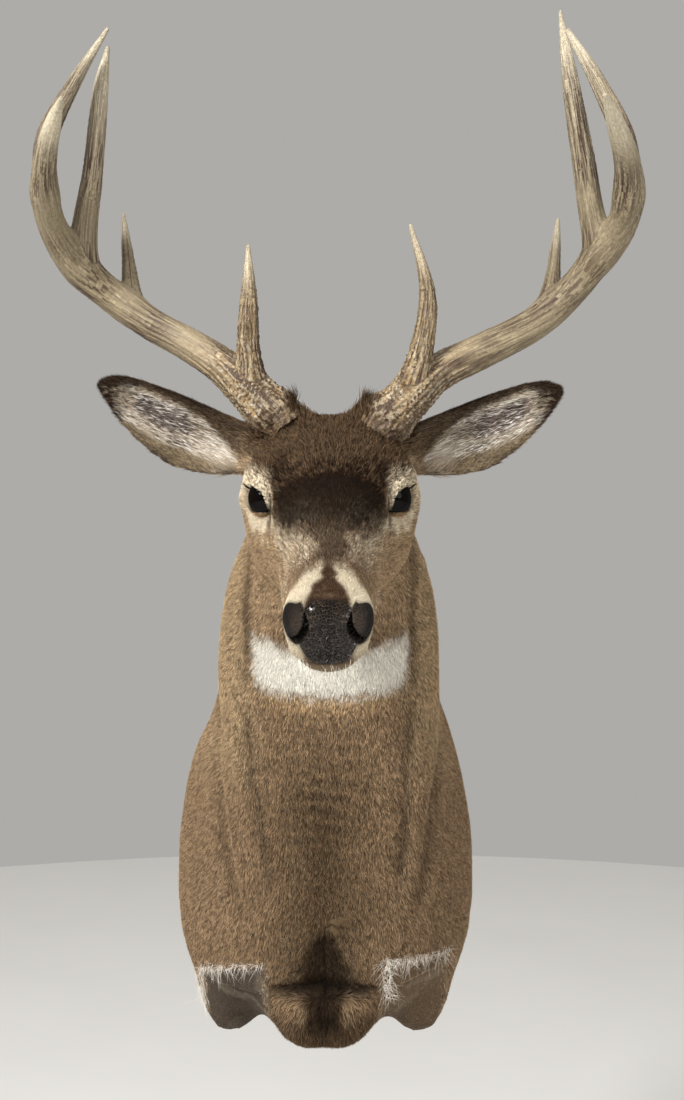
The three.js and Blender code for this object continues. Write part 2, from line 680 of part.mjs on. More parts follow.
for (const [name, solid] of Object.entries(partHide(makeHide(antlers)))) {
  addPiece(name, solid, HIDE_COLOURS[name] ?? COLOURS.coat, name === 'nose_pad' ? 0.35 : 0.9);
}
for (const { name, sign, earDrop } of SIDES) {
  const ear = makeEar(sign, earDrop).subtract(makeHead(GAP)).subtract(antlers[name].swollen);
  addPiece(`ear_${name}`, ear, COLOURS.ear, 0.9);
  addPiece(`eye_${name}`, makeEye(sign, EYE_RADIUS), COLOURS.eye, 0.1);
  for (const [piece, solid] of Object.entries(antlers[name].pieces)) {
    addPiece(`antler_${name}_${piece}`, solid, piece === 'beam_base' ? COLOURS.antlerBase : COLOURS.antler, 0.6);
  }
}
addPiece('backboard', makeBoard(), COLOURS.board, 0.8);
addPiece('hanger_plate', makeHangerPlate(), COLOURS.steel, 0.35, 1);
addPiece('hanger_screw_lower', makeScrew(-1, 0), COLOURS.steel, 0.35, 1);
addPiece('hanger_screw_upper', makeScrew(1, 0), COLOURS.steel, 0.35, 1);

export default mount;
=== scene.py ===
"""Whitetail buck shoulder mount: its hide, coat, antlers, eyes and board, as a small Blender add-on."""

import math

import bmesh
import bpy
import numpy as np
from mathutils import Matrix, Vector, noise


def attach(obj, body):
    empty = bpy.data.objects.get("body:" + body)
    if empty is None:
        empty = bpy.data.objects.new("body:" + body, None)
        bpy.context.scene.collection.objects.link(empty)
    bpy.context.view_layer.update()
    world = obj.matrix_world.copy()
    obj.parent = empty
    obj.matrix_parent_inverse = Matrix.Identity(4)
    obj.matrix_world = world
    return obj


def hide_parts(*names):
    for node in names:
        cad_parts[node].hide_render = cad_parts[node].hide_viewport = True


bl_info = {
    "name": "Whitetail buck mount",
    "version": (1, 0, 0),
    "blender": (4, 5, 0),
    "location": "3D View > Sidebar > Buck mount",
    "description": "Builds the hide, coat, antlers, eyes and board of a buck shoulder mount",
    "category": "Object",
}

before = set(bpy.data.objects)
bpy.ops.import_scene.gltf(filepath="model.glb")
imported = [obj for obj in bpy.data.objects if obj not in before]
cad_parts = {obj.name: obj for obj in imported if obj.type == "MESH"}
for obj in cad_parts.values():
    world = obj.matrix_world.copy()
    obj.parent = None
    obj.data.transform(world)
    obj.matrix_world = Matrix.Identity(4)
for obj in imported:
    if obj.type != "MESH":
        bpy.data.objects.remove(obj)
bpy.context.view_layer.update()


# ---------------------------------------------------------------- sizes, in millimetres

MM = 0.001
SIDES = (("right", -1.0), ("left", 1.0))
FLESH = (
    "head", "nose_pad", "lower_jaw", "neck_upper", "neck_lower", "chest", "shoulder_right",
    "shoulder_left", "brisket", "leg_stump_right", "leg_stump_left", "ear_right", "ear_left",
)
ANTLER_PARTS = ("beam_base", "beam_middle", "beam_tip", "brow_tine", "short_tine", "inner_tine", "rear_tine")

# The head's own axes: s runs forward to the nose, x aside, h up.
HEAD_ORIGIN = np.array((0.3, -430.0, 193.7))
HEAD_PITCH = math.radians(34)
HEAD_FORWARD = np.array((0.0, -math.cos(HEAD_PITCH), -math.sin(HEAD_PITCH)))
HEAD_UP = np.array((0.0, -math.sin(HEAD_PITCH), math.cos(HEAD_PITCH)))

# Trunk and neck sections from the wall to the head: the nape's and the throat's (y, z).
SECTIONS = np.array((
    (-0.8, 92, -0.8, -362), (-40, 104, -50, -372), (-75, 116, -110, -374), (-108, 130, -168, -358),
    (-138, 144, -218, -312), (-165, 158, -252, -250), (-190, 172, -275, -180), (-216, 188, -298, -100),
    (-244, 206, -322, -25), (-272, 227, -350, 35), (-302, 246, -378, 75), (-330, 261, -396, 100),
), dtype=float)

# Eye: centre, radius, and the corners of the lids, in head axes (s, x, h).
EYE_CENTRE = np.array((-4.0, 54.0, 0.5))
EYE_RADIUS = 17.5
FRONT_CORNER = np.array((17.0, 49.0, -2.0))
REAR_CORNER = np.array((-17.0, 72.5, 0.5))

# Mouth line from its front to its corner, as (s, h).
MOUTH_FRONT = (184.0, -42.0)
MOUTH_REAR = (74.0, -48.0)

# Ear: root and tip of its axis on the +X side.
EAR_ROOT = np.array((74.0, -366.0, 238.0))
EAR_TIP = np.array((217.0, -346.0, 306.0))
EAR_FACING = np.array((0.2, -0.95, -0.22))
EAR_DROP = {"right": 0.0, "left": 6.0}  # how far each tip hangs below that
EAR_HALF_WIDTH = 34.5

CHEST_MIDDLE = -8.0  # x of the line between the front legs
WRINKLE_PITCH = 15


# ---------------------------------------------------------------- small tools


def smooth(low, high, value):
    """0 below low, 1 above high, and an even bend between (low may be the larger)."""
    t = np.clip((value - low) / (high - low), 0.0, 1.0)
    return t * t * (3 - 2 * t)


def bell(value, centre, reach):
    return np.exp(-(((value - centre) / reach) ** 2))


def unit(v):
    return v / np.maximum(np.linalg.norm(v, axis=-1, keepdims=True), 1e-9)


def dot(a, b):
    return (a * b).sum(-1)


def mix(a, b, share):
    share = np.asarray(share)
    return a + (b - a) * (share[:, None] if share.ndim == 1 else share)


def linear(hex_colour):
    """An sRGB hex colour as linear values."""
    values = np.array([int(hex_colour[i:i + 2], 16) / 255 for i in (1, 3, 5)])
    return np.where(values <= 0.04045, values / 12.92, ((values + 0.055) / 1.055) ** 2.4)


def ripple(points, size, seed):
    """Soft seeded noise, about -1 to 1, whose lumps are about size across."""
    rng = np.random.default_rng(seed)
    total = np.zeros(len(points))
    for _ in range(7):
        way = unit(rng.normal(size=3)) * rng.uniform(0.7, 1.5) * 2 * math.pi / (size * 2)
        total += np.sin(points @ way + rng.uniform(0, 2 * math.pi))
    return total / 2.6


def to_head(points):
    away = points - HEAD_ORIGIN
    return np.stack((away @ HEAD_FORWARD, away[:, 0], away @ HEAD_UP), axis=1)


def from_head(places):
    places = np.asarray(places, float)
    return (
        HEAD_ORIGIN + places[..., :1] * HEAD_FORWARD + places[..., 1:2] * np.array((1.0, 0, 0))
        + places[..., 2:3] * HEAD_UP
    )


def section_place(points):
    """Where points lie along the trunk and neck (0 at the wall to 11), and round it."""
    nape = SECTIONS[:, :2]
    throat = SECTIONS[:, 2:]
    rise = unit(nape - throat)
    ahead = np.stack((-rise[:, 1], rise[:, 0]), axis=1)
    reach = np.einsum("nik,ik->ni", points[:, None, 1:] - throat[None], ahead)
    last = len(SECTIONS) - 1
    index = np.clip((reach >= 0).sum(1) - 1, 0, last - 1)
    rows = np.arange(len(points))
    here = reach[rows, index]
    there = reach[rows, index + 1]
    share = here / np.where(np.abs(here - there) < 1e-6, 1e-6, here - there)
    t = index + np.clip(share, -2, 3)
    f = np.clip(share, 0, 1)[:, None]
    middle = (nape + throat) / 2
    centre = middle[index] * (1 - f) + middle[index + 1] * f
    up = unit(rise[index] * (1 - f) + rise[index + 1] * f)
    height = ((points[:, 1:] - centre) * up).sum(1)
    round_it = np.arctan2(points[:, 0] + 4, height)
    way = np.zeros_like(points)
    way[:, 1:] = unit(ahead[index] * (1 - f) + ahead[index + 1] * f)
    return t, round_it, way


def ear_axes(side, sign):
    """An ear's root, the length and unit vectors of its axis, its upward way and its facing."""
    root = np.array((sign * EAR_ROOT[0] + HEAD_ORIGIN[0], EAR_ROOT[1], EAR_ROOT[2]))
    tip = np.array((sign * EAR_TIP[0] + HEAD_ORIGIN[0], EAR_TIP[1], EAR_TIP[2] - EAR_DROP[side]))
    axis = tip - root
    facing = EAR_FACING * np.array((sign, 1, 1))
    across = unit(np.cross(axis, facing))
    across = across if across[2] > 0 else -across
    facing = unit(np.cross(axis, across))
    facing = facing if facing[1] < 0 else -facing
    return root, np.linalg.norm(axis), unit(axis), across, facing


def ear_place(points, side, sign):
    """Where points lie on an ear: along its axis (root 0, tip 1), and across it (edges at -1 and 1)."""
    root, length, axis, across, _ = ear_axes(side, sign)
    away = points - root
    a = away @ axis / length
    half = EAR_HALF_WIDTH * np.sqrt(np.clip(1 - ((a - 0.42) / 0.62) ** 2, 0.02, 1))
    middle = -8 * np.sin(np.clip(a, 0, 1) * math.pi)
    return a, (away @ across - middle) / half


def eye_axes(sign):
    """An eye's centre and its unit axes: along the lids to the front, up, and outward."""
    flip = np.array((1, sign, 1))
    centre = from_head(EYE_CENTRE * flip)
    front = from_head(FRONT_CORNER * flip)
    rear = from_head(REAR_CORNER * flip)
    along = unit(front - rear)
    outward = unit((front + rear) / 2 - centre)
    outward = unit(outward - along * (outward @ along))
    up = unit(np.cross(outward, along))
    up = up if up[2] > 0 else -up
    return centre, along, up, outward


def eye_place(points, sign):
    """Where points lie by an eye's own axes (along, up, outward), and how far from its centre."""
    centre, along, up, outward = eye_axes(sign)
    away = points - centre
    return away @ along, away @ up, away @ outward, np.linalg.norm(away, axis=1)


def cad_solids(names, swell):
    """The named solids together as one bmesh, each let out by a swell in millimetres."""
    whole = bmesh.new()
    for name in names:
        piece = bmesh.new()
        piece.from_mesh(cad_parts[name].data)
        bmesh.ops.remove_doubles(piece, verts=piece.verts, dist=1e-5)
        piece.normal_update()
        for v in piece.verts:
            v.co += v.normal * swell * MM
        scratch = bpy.data.meshes.new("scratch")
        piece.to_mesh(scratch)
        piece.free()
        whole.from_mesh(scratch)
        bpy.data.meshes.remove(scratch)
    return whole


def new_object(name, mesh):
    obj = bpy.data.objects.new(name, mesh)
    bpy.context.scene.collection.objects.link(obj)
    return obj


def remeshed(bm, voxel):
    """A bmesh's solids as one closed skin, remade by voxels. Returns a mesh."""
    mesh = bpy.data.meshes.new("scratch")
    bm.to_mesh(mesh)
    bm.free()
    obj = new_object("scratch", mesh)
    step = obj.modifiers.new("voxels", "REMESH")
    step.mode = "VOXEL"
    step.voxel_size = voxel * MM
    made = bpy.data.meshes.new_from_object(obj.evaluated_get(bpy.context.evaluated_depsgraph_get()))
    bpy.data.objects.remove(obj)
    bpy.data.meshes.remove(mesh)
    return made


def places(mesh):
    values = np.empty(len(mesh.vertices) * 3, np.float32)
    mesh.vertices.foreach_get("co", values)
    return values.reshape(-1, 3).astype(float) / MM


def put_places(mesh, points):
    mesh.vertices.foreach_set("co", (points * MM).astype(np.float32).ravel())
    mesh.update()


def normals(mesh):
    values = np.empty(len(mesh.vertices) * 3, np.float32)
    mesh.vertex_normals.foreach_get("vector", values)
    return values.reshape(-1, 3).astype(float)


def edges(mesh):
    values = np.empty(len(mesh.edges) * 2, np.int32)
    mesh.edges.foreach_get("vertices", values)
    return values.reshape(-1, 2)


def relaxed(points, pairs, share, rounds):
    """Points eased towards their neighbours' middle, each by its own share, a number of times."""
    a, b = pairs[:, 0], pairs[:, 1]
    count = len(points)
    degree = np.maximum(np.bincount(a, minlength=count) + np.bincount(b, minlength=count), 1)
    points = points.copy()
    for _ in range(rounds):
        for axis in range(3):
            column = points[:, axis]
            near = np.bincount(a, column[b], count) + np.bincount(b, column[a], count)
            points[:, axis] = column + share * (near / degree - column)
    return points


def paint(mesh, name, colours):
    """Writes a colour for each point as a named attribute."""
    layer = mesh.attributes.new(name, "FLOAT_COLOR", "POINT")
    full = np.ones((len(colours), 4), np.float32)
    full[:, :3] = colours
    layer.data.foreach_set("color", full.ravel())


def weigh(mesh, name, values):
    """Writes a number for each point as a named attribute."""
    layer = mesh.attributes.new(name, "FLOAT", "POINT")
    layer.data.foreach_set("value", np.asarray(values, np.float32))


def drawn_mesh(name, points, faces):
    """A mesh from arrays of points (millimetres) and faces with equal corner counts."""
    mesh = bpy.data.meshes.new(name)
    corners = faces.shape[1]
    mesh.vertices.add(len(points))
    mesh.vertices.foreach_set("co", (points * MM).astype(np.float32).ravel())
    mesh.loops.add(faces.size)
    mesh.loops.foreach_set("vertex_index", faces.astype(np.int32).ravel())
    mesh.polygons.add(len(faces))
    mesh.polygons.foreach_set("loop_start", np.arange(0, faces.size, corners, dtype=np.int32))
    mesh.polygons.foreach_set("loop_total", np.full(len(faces), corners, np.int32))
    mesh.update(calc_edges=True)
    mesh.shade_smooth()
    return mesh


# ---------------------------------------------------------------- skin

# The stub that fills an antler's seat in the skin, on the +X side.
PEDICLE_FOOT = (38.0, -388.0, 248.0)
PEDICLE_HEAD = (55.0, -388.0, 272.0)
PEDICLE_RADIUS = 19.0
SKIN_VOXEL = 2.2
BODY_POINTS = 24500


def make_skin_mesh():
    """The flesh solids, with the eyes and the antlers' seats filled, as one closed skin."""
    whole = cad_solids(FLESH + ("eye_right", "eye_left"), 0.7)
    for _, sign in SIDES:
        foot = Vector(PEDICLE_FOOT) * MM
        head_end = Vector(PEDICLE_HEAD) * MM
        foot.x *= sign
        head_end.x *= sign
        run = head_end - foot
        turn = run.to_track_quat("Z", "Y").to_matrix().to_4x4()
        bmesh.ops.create_cone(
            whole, cap_ends=True, segments=24, radius1=PEDICLE_RADIUS * MM, radius2=PEDICLE_RADIUS * MM,
            depth=run.length, matrix=Matrix.Translation((foot + head_end) / 2) @ turn,
        )
    return remeshed(whole, SKIN_VOXEL)


def drop_crumbs(mesh):
    """Removes every loose crumb, keeping the one largest closed body."""
    bm = bmesh.new()
    bm.from_mesh(mesh)
    seen = set()
    bodies = []
    for start in bm.verts:
        if start in seen:
            continue
        seen.add(start)
        body = [start]
        for v in body:
            for e in v.link_edges:
                other = e.other_vert(v)
                if other not in seen:
                    seen.add(other)
                    body.append(other)
        bodies.append(body)
    bodies.sort(key=len)
    for body in bodies[:-1]:
        bmesh.ops.delete(bm, geom=body, context="VERTS")
    bm.to_mesh(mesh)
    bm.free()


def ear_share(points):
    """1 on the ears and 0 off them."""
    out = np.abs(points[:, 0] - HEAD_ORIGIN[0])
    share = smooth(72, 88, out + 0.25 * (points[:, 2] - 250)) * smooth(200, 212, points[:, 2])
    return share * (points[:, 1] > -402)


def head_share(points):
    """1 on the head and 0 on the neck behind it."""
    t, _, _ = section_place(points)
    return np.maximum(smooth(10.3, 11.2, t) * smooth(-318, -345, points[:, 1]), ear_share(points))


def thinned(mesh, keep):
    """The mesh with its body and ears thinned to about a number of points, the head left fine."""
    obj = new_object("scratch", mesh)
    points = places(mesh)
    body = 1 - (head_share(points) > 0.02) * (ear_share(points) < 0.6)
    group = obj.vertex_groups.new(name="body")
    group.add(np.flatnonzero(body).tolist(), 1.0, "REPLACE")
    step = obj.modifiers.new("thin", "DECIMATE")
    step.vertex_group = "body"
    step.ratio = (len(points) - body.sum() + keep) / len(points)
    made = bpy.data.meshes.new_from_object(obj.evaluated_get(bpy.context.evaluated_depsgraph_get()))
    bpy.data.objects.remove(obj)
    bpy.data.meshes.remove(mesh)
    return made


def split_near(mesh, near):
    """Splits the mesh's edges where near(points) holds, for finer detail there."""
    bm = bmesh.new()
    bm.from_mesh(mesh)
    points = places(mesh)
    chosen = near(points)
    found = [e for e in bm.edges if chosen[e.verts[0].index] and chosen[e.verts[1].index]]
    bmesh.ops.subdivide_edges(bm, edges=found, cuts=1, use_grid_fill=True)
    bmesh.ops.triangulate(bm, faces=[f for f in bm.faces if len(f.verts) > 4])
    bm.to_mesh(mesh)
    bm.free()


def near_eyes(points, reach):
    found = np.zeros(len(points), bool)
    for _, sign in SIDES:
        _, _, w, span = eye_place(points, sign)
        found |= (span < reach) & (w > -2)
    return found


def near_muzzle(points):
    s, _, h = to_head(points).T
    lip = np.abs(h - mouth_height(s)) < 7
    return (s > 138) | (lip & (s > 66) & (s < 150))


def mouth_height(s):
    """The height of the line of the mouth, which bows up between its ends."""
    share = (s - MOUTH_REAR[0]) / (MOUTH_FRONT[0] - MOUTH_REAR[0])
    bow = 3.5 * np.sin(np.clip(share, 0, 1) * math.pi)
    return MOUTH_REAR[1] + (MOUTH_FRONT[1] - MOUTH_REAR[1]) * share + bow


# The opening between the lids round a place near its middle: (angle in degrees, reach).
LID_MIDDLE = (0.0, 4.0)
LID_OPENING = (
    (-19, 16.4), (-4, 14.4), (18, 12.6), (44, 11.0), (74, 9.7), (98, 9.3), (128, 9.8),
    (156, 12.2), (178, 15.4), (202, 13.4), (229, 10.8), (260, 9.2), (294, 8.6), (320, 10.2),
)


def lid_edge(u, v):
    """How far outside the opening between the lids a place is, along and across the eye's own axes."""
    across, up = u - LID_MIDDLE[0], v - LID_MIDDLE[1]
    angle = np.degrees(np.arctan2(up, across)) % 360
    turns = np.array([a % 360 for a, _ in LID_OPENING])
    order = np.argsort(turns)
    reach = np.array([r for _, r in LID_OPENING])[order]
    return np.hypot(across, up) - np.interp(angle, turns[order], reach, period=360)


def coat_depth(points):
    """How far the skin is drawn in from the solids, for the coat to lie on it."""
    s, _, h = to_head(points).T
    on_head = head_share(points)
    crown = smooth(12, -22, s) * smooth(20, 32, h)
    face = 1.2 - 0.5 * smooth(60, 130, s) + 1.4 * crown
    depth = 0.7 + (face - 0.7) * on_head
    depth = depth + (0.8 - depth) * ear_share(points)
    depth = depth * (1 - 0.9 * smooth(158, 164, s))
    return depth * smooth(-3.0, -30.0, points[:, 1])


def shape_eyes(points):
    """Works the lids, their margins and the tear ducts into the head's points."""
    for _, sign in SIDES:
        centre, _, _, outward = eye_axes(sign)
        u, v, w, span = eye_place(points, sign)
        close = (span < 44) & (w > -4)
        edge = lid_edge(u, v)
        upper = smooth(-1, 3, v)
        rim = EYE_RADIUS - 2.4 + 4.0 * smooth(-0.9, 0.9, edge)
        rim = rim + (0.3 + 0.4 * upper) * smooth(0.8, 4.0, edge)
        rim = rim - 1.0 * bell(edge, 6.2, 1.2) * upper - 0.4 * bell(edge, 5.4, 1.2) * (1 - upper)
        hold = (1 - smooth(7.0, 13.0, edge)) * close * smooth(-4, 3, w)
        points = mix(points, centre + unit(points - centre) * rim[:, None], hold)
        duct_at = np.clip((u - 15.0) / 12.0, 0, 1)
        duct = bell(v + 0.5 + 5.5 * duct_at, 0, 1.6) * smooth(13, 16, u) * smooth(30, 22, u) * close
        points = points - outward * (2.6 * duct)[:, None]
    return points


# The comma of a nostril from top to tail, each place as (aside, h, half width, depth).
NOSTRIL = (
    (18.0, 4.5, 0.9, 2.0), (17.0, -1.0, 1.9, 6.5), (17.6, -7.0, 2.6, 9.5), (20.5, -13.0, 2.8, 9.5),
    (25.0, -18.0, 2.6, 6.5), (30.0, -19.5, 1.2, 2.0),
)


def nostril_line(x, h):
    """How near a nostril's comma a place on the nose is (0 to 1), and how deep the comma is there."""
    side = np.abs(x)
    best = np.full(len(side), 1e9)
    depth = np.zeros(len(side))
    for (x0, h0, w0, d0), (x1, h1, w1, d1) in zip(NOSTRIL[:-1], NOSTRIL[1:]):
        run = np.array((x1 - x0, h1 - h0))
        f = np.clip(((side - x0) * run[0] + (h - h0) * run[1]) / (run @ run), 0, 1)
        off = np.hypot(side - x0 - f * run[0], h - h0 - f * run[1]) / (w0 + (w1 - w0) * f)
        depth = np.where(off < best, d0 + (d1 - d0) * f, depth)
        best = np.minimum(best, off)
    return smooth(1.35, 0.55, best), depth


def shape_muzzle(points):
    """Works the mouth line, the nostrils and their wings, the lip and the pad into the muzzle."""
    place = to_head(points)
    s, x, h = place.T
    side = np.abs(x)
    line = h - mouth_height(s)
    length = smooth(70, 82, s)
    groove = bell(line, 0, 1.3) * length * 3.0
    lip = bell(line, 4.5, 3.5) * length * 0.9
    under = smooth(0, -3, line) * smooth(-22, -6, line) * length * smooth(130, 165, s) * 1.2
    inward = unit(np.stack((np.where(s > 150, -(s - 140) * 1.0, 0), -x, np.zeros_like(s)), axis=1))
    place = place + (groove - lip + under)[:, None] * inward
    front = smooth(148, 158, s)
    wing = np.exp(-(((side - 27.5) / 6.5) ** 2 + ((h + 5.5) / 11.0) ** 2)) * front
    pad = np.exp(-((np.abs(side - 9.5) / 8.5) ** 2 + ((h - 1.5) / 8.0) ** 2)) * front
    bulge = 2.6 * wing + 1.6 * pad + 1.2 * front * bell(x, 0, 15) * bell(h, -24, 12)
    bulge = bulge - 1.0 * bell(x, 0, 1.6) * front * smooth(-4, -14, h) * smooth(-44, -34, h)
    away = unit(np.stack((np.full_like(s, 1.6), x / 16, (h + 12) / 26), axis=1))
    place = place + away * bulge[:, None]
    near, deep = nostril_line(place[:, 1], place[:, 2])
    hole = near * deep * smooth(150, 160, s)
    inward = unit(np.stack((np.ones_like(s), x / 90, np.full_like(s, -0.15)), axis=1))
    place = place - hole[:, None] * inward
    return from_head(place)


# Folds of the neck and chest: their lines' points, (x, z) or (x, y, z), half width and depth.
FOLDS = (
    (((-74, 150), (-76, 100), (-78, 60), (-82, 10)), 5.0, 3.5),
    (((71, 150), (74, 100), (76, 60), (77, 10)), 5.0, 3.5),
    (((-82, 7), (-78, -54), (-66, -146), (-60, -200)), 8.0, 5.0),
    (((77, 10), (75, -54), (73, -146), (65, -195)), 8.0, 4.4),
    (((-116, -70, 60), (-127, -130, 12), (-125, -178, -22), (-123, -212, -55), (-118, -236, -82),
      (-113, -244, -118), (-108, -246, -152), (-101, -246, -191), (-92, -244, -235)), 7.5, 8.0),
    (((104, -80, 60), (110, -140, 12), (113, -180, -22), (113, -212, -54), (109, -240, -80),
      (105, -247, -109), (101, -248, -135), (97, -248, -160), (92, -246, -190), (86, -242, -230)), 7.5, 7.5),
)


def fold_nearness(points, line, half):
    """1 on a fold's line, falling to 0 over its half width, fading at its ends."""
    line = np.array(line, float)
    flat = points[:, (0, 2)] if line.shape[1] == 2 else points * (1, 0.3, 1)
    if line.shape[1] == 3:
        line = line * (1, 0.3, 1)
    best = np.full(len(points), 1e9)
    for a, b in zip(line[:-1], line[1:]):
        run = b - a
        f = np.clip((flat - a) @ run / (run @ run), 0, 1)
        best = np.minimum(best, np.linalg.norm(flat - a - f[:, None] * run, axis=1))
    ends = smooth(line[0, -1] + 8, line[0, -1] - 22, points[:, 2])
    return bell(best, 0, half) * ends * smooth(line[-1, -1] - 8, line[-1, -1] + 30, points[:, 2])


def wrinkles(points, middle):
    """-1 to 1 across the chest's wrinkles, which bow about a middle line."""
    px, _, pz = points.T
    wave = pz + 0.0009 * (px - middle) ** 2 + 6 * ripple(points, 45, 31)
    return np.sin(wave * 2 * math.pi / WRINKLE_PITCH)


def shape_body(points, norms):
    """Works in the neck's and shoulders' folds, the chest's dip, the crease and the stumps' pockets."""
    px, py, pz = points.T
    mid = px - CHEST_MIDDLE
    off = np.abs(mid)
    front = smooth(0.0, 0.35, -norms[:, 1])
    push = np.zeros(len(points))
    for line, half, depth in FOLDS:
        push -= depth * fold_nearness(points, line, half) * (front if len(line[0]) == 2 else 1)
    ridges = 2.5 * bell(px, -92, 14) * bell(pz, -60, 90) * front
    push += ridges + 2.5 * bell(px, 90, 13) * bell(pz, -60, 90) * front
    down = np.clip((-226 - pz) / 78, 0, 1.1)
    width = 6 + 22 * down
    push -= 9.0 * bell(px, -7, width) * smooth(-222, -262, pz) * smooth(-312, -296, pz) * front
    crease = pz + 300 + 0.0016 * mid ** 2
    push -= 8.0 * bell(crease, 0, 5.5) * smooth(66, 46, off) * front
    push += 4.0 * bell(crease, -16, 12) * smooth(64, 40, off) * front
    push -= 4.0 * bell(mid, 0, 12) * bell(pz, -352, 18) * front
    side = smooth(0.3, 0.8, np.abs(norms[:, 0])) * smooth(-30, -60, py)
    push -= 6.0 * bell(pz, -30, 34) * (px < -95) * side
    for sign, centre, top in ((-1, (-101, -352), -312), (1, (97, -344), -296)):
        pit = np.exp(-(((px - centre[0]) / 20) ** 2 + ((pz - centre[1]) / 30) ** 2))
        push -= 9.0 * pit * front
        rim = pz - (top + 0.22 * (px - centre[0]) * (sign > 0))
        push += 3.0 * bell(rim, 2, 4.5) * smooth(34, 22, np.abs(px - centre[0])) * front
    push += 1.2 * wrinkles(points, 0) * bell(px, -6, 42) * bell(pz, -95, 55) * front
    return points + norms * push[:, None]


def make_skin():
    mesh = make_skin_mesh()
    drop_crumbs(mesh)
    mesh = thinned(mesh, BODY_POINTS)
    points = places(mesh)
    pairs = edges(mesh)
    head = head_share(points)
    ear = ear_share(points)
    rear = smooth(-30, -20, points[:, 1])
    share = 0.5 * (1 - head) * (1 - rear)
    points = relaxed(points, pairs, share, 30)
    share = 0.5 * (1 - 0.3 * ear) * (1 - rear)
    points = relaxed(points, pairs, share, 8)
    put_places(mesh, points)
    points = points - normals(mesh) * coat_depth(points)[:, None]
    points = relaxed(points, pairs, 0.3 * (1 - rear) * (1 - ear), 3)
    put_places(mesh, points)
    put_places(mesh, shape_body(points, normals(mesh)))
    split_near(mesh, lambda p: near_eyes(p, 28))
    split_near(mesh, near_muzzle)
    split_near(mesh, lambda p: to_head(p)[:, 0] > 157)
    points = places(mesh)
    points = relaxed(points, edges(mesh), 0.4 * (near_eyes(points, 40) | near_muzzle(points)), 4)
    points = shape_eyes(points)
    points = shape_muzzle(points)
    put_places(mesh, points)
    return mesh


def lid_margin(points):
    """1 on the bare margins of the lids and in the tear ducts."""
    found = np.zeros(len(points))
    for _, sign in SIDES:
        u, v, w, span = eye_place(points, sign)
        near = (span < 40) * (w > 0)
        found = np.maximum(found, near * smooth(2.0, 0.8, lid_edge(u, v)))
    return found


# ---------------------------------------------------------------- markings, shared by skin and coat

# The near-black fold tone (#120c07) is painted shade, laid into folds, creases and dips.
TONES = {
    "body": "#806950", "back": "#5f4b37", "chest": "#443320", "neck_side": "#9c8566", "painted_shade": "#120c07",
    "brisket": "#4b3826", "armpit": "#63564a", "crown": "#3b2d1f", "patch": "#160d07", "cheek": "#90785c",
    "bridge": "#67523e", "frost": "#b6a890", "cream": "#c8baa0", "triangle": "#332115", "throat": "#d3cec2",
    "chin": "#86755d", "ear_back": "#4f3f30", "ear_rim": "#2a1e16", "ear_inside": "#665a54",
    "ear_white": "#978976", "ear_grizzle": "#74644d", "nose": "#0a0605", "nose_pink": "#3d332c",
    "nose_sheen": "#332b26", "lid": "#1a120e", "tan": "#b99a72", "lip": "#3a2b24", "duct": "#402c1b",
    "under_eye": "#977550",
}
TONES = {name: linear(value) for name, value in TONES.items()}


def tint(colours, name, share):
    """Colours moved towards a named tone by a share."""
    return mix(colours, TONES[name], share)


def nose_mask(head):
    """1 on the bare nose pad and its wings, and 0 on the haired skin round them."""
    s, x, h = head.T
    side = np.abs(x)
    start = 164.2 - 7.0 * smooth(23, 33, side) - 2.0 * bell(side, 13, 8)
    ahead = smooth(-0.8, 0.9, s - start)
    width = 23.5 - 3.0 * smooth(-14, -34, h)
    pad = smooth(1.08, 0.95, np.abs(x / width) ** 3 + np.abs((h + 13.5) / 26.5) ** 3)
    wing = smooth(1.15, 0.92, ((side - 25.5) / 10.5) ** 2 + ((h + 5.0) / 17.5) ** 2)
    return ahead * np.maximum(pad, wing)


def wing_share(points):
    """How far a point of the nose lies out on a wing, outside the nostril, rather than on the pad."""
    _, x, h = to_head(points).T
    return smooth(17, 23, np.abs(x)) * smooth(-24, -16, h)


def ear_fold(a):
    """Across an ear, where its cupped back edge rolls forward over the inside, from base (0) to tip (1)."""
    return np.interp(a, (0.0, 0.02, 0.16, 0.32, 0.5, 0.86, 1.0), (-0.5, -0.39, 0.03, 0.43, 0.64, 0.68, 0.6))


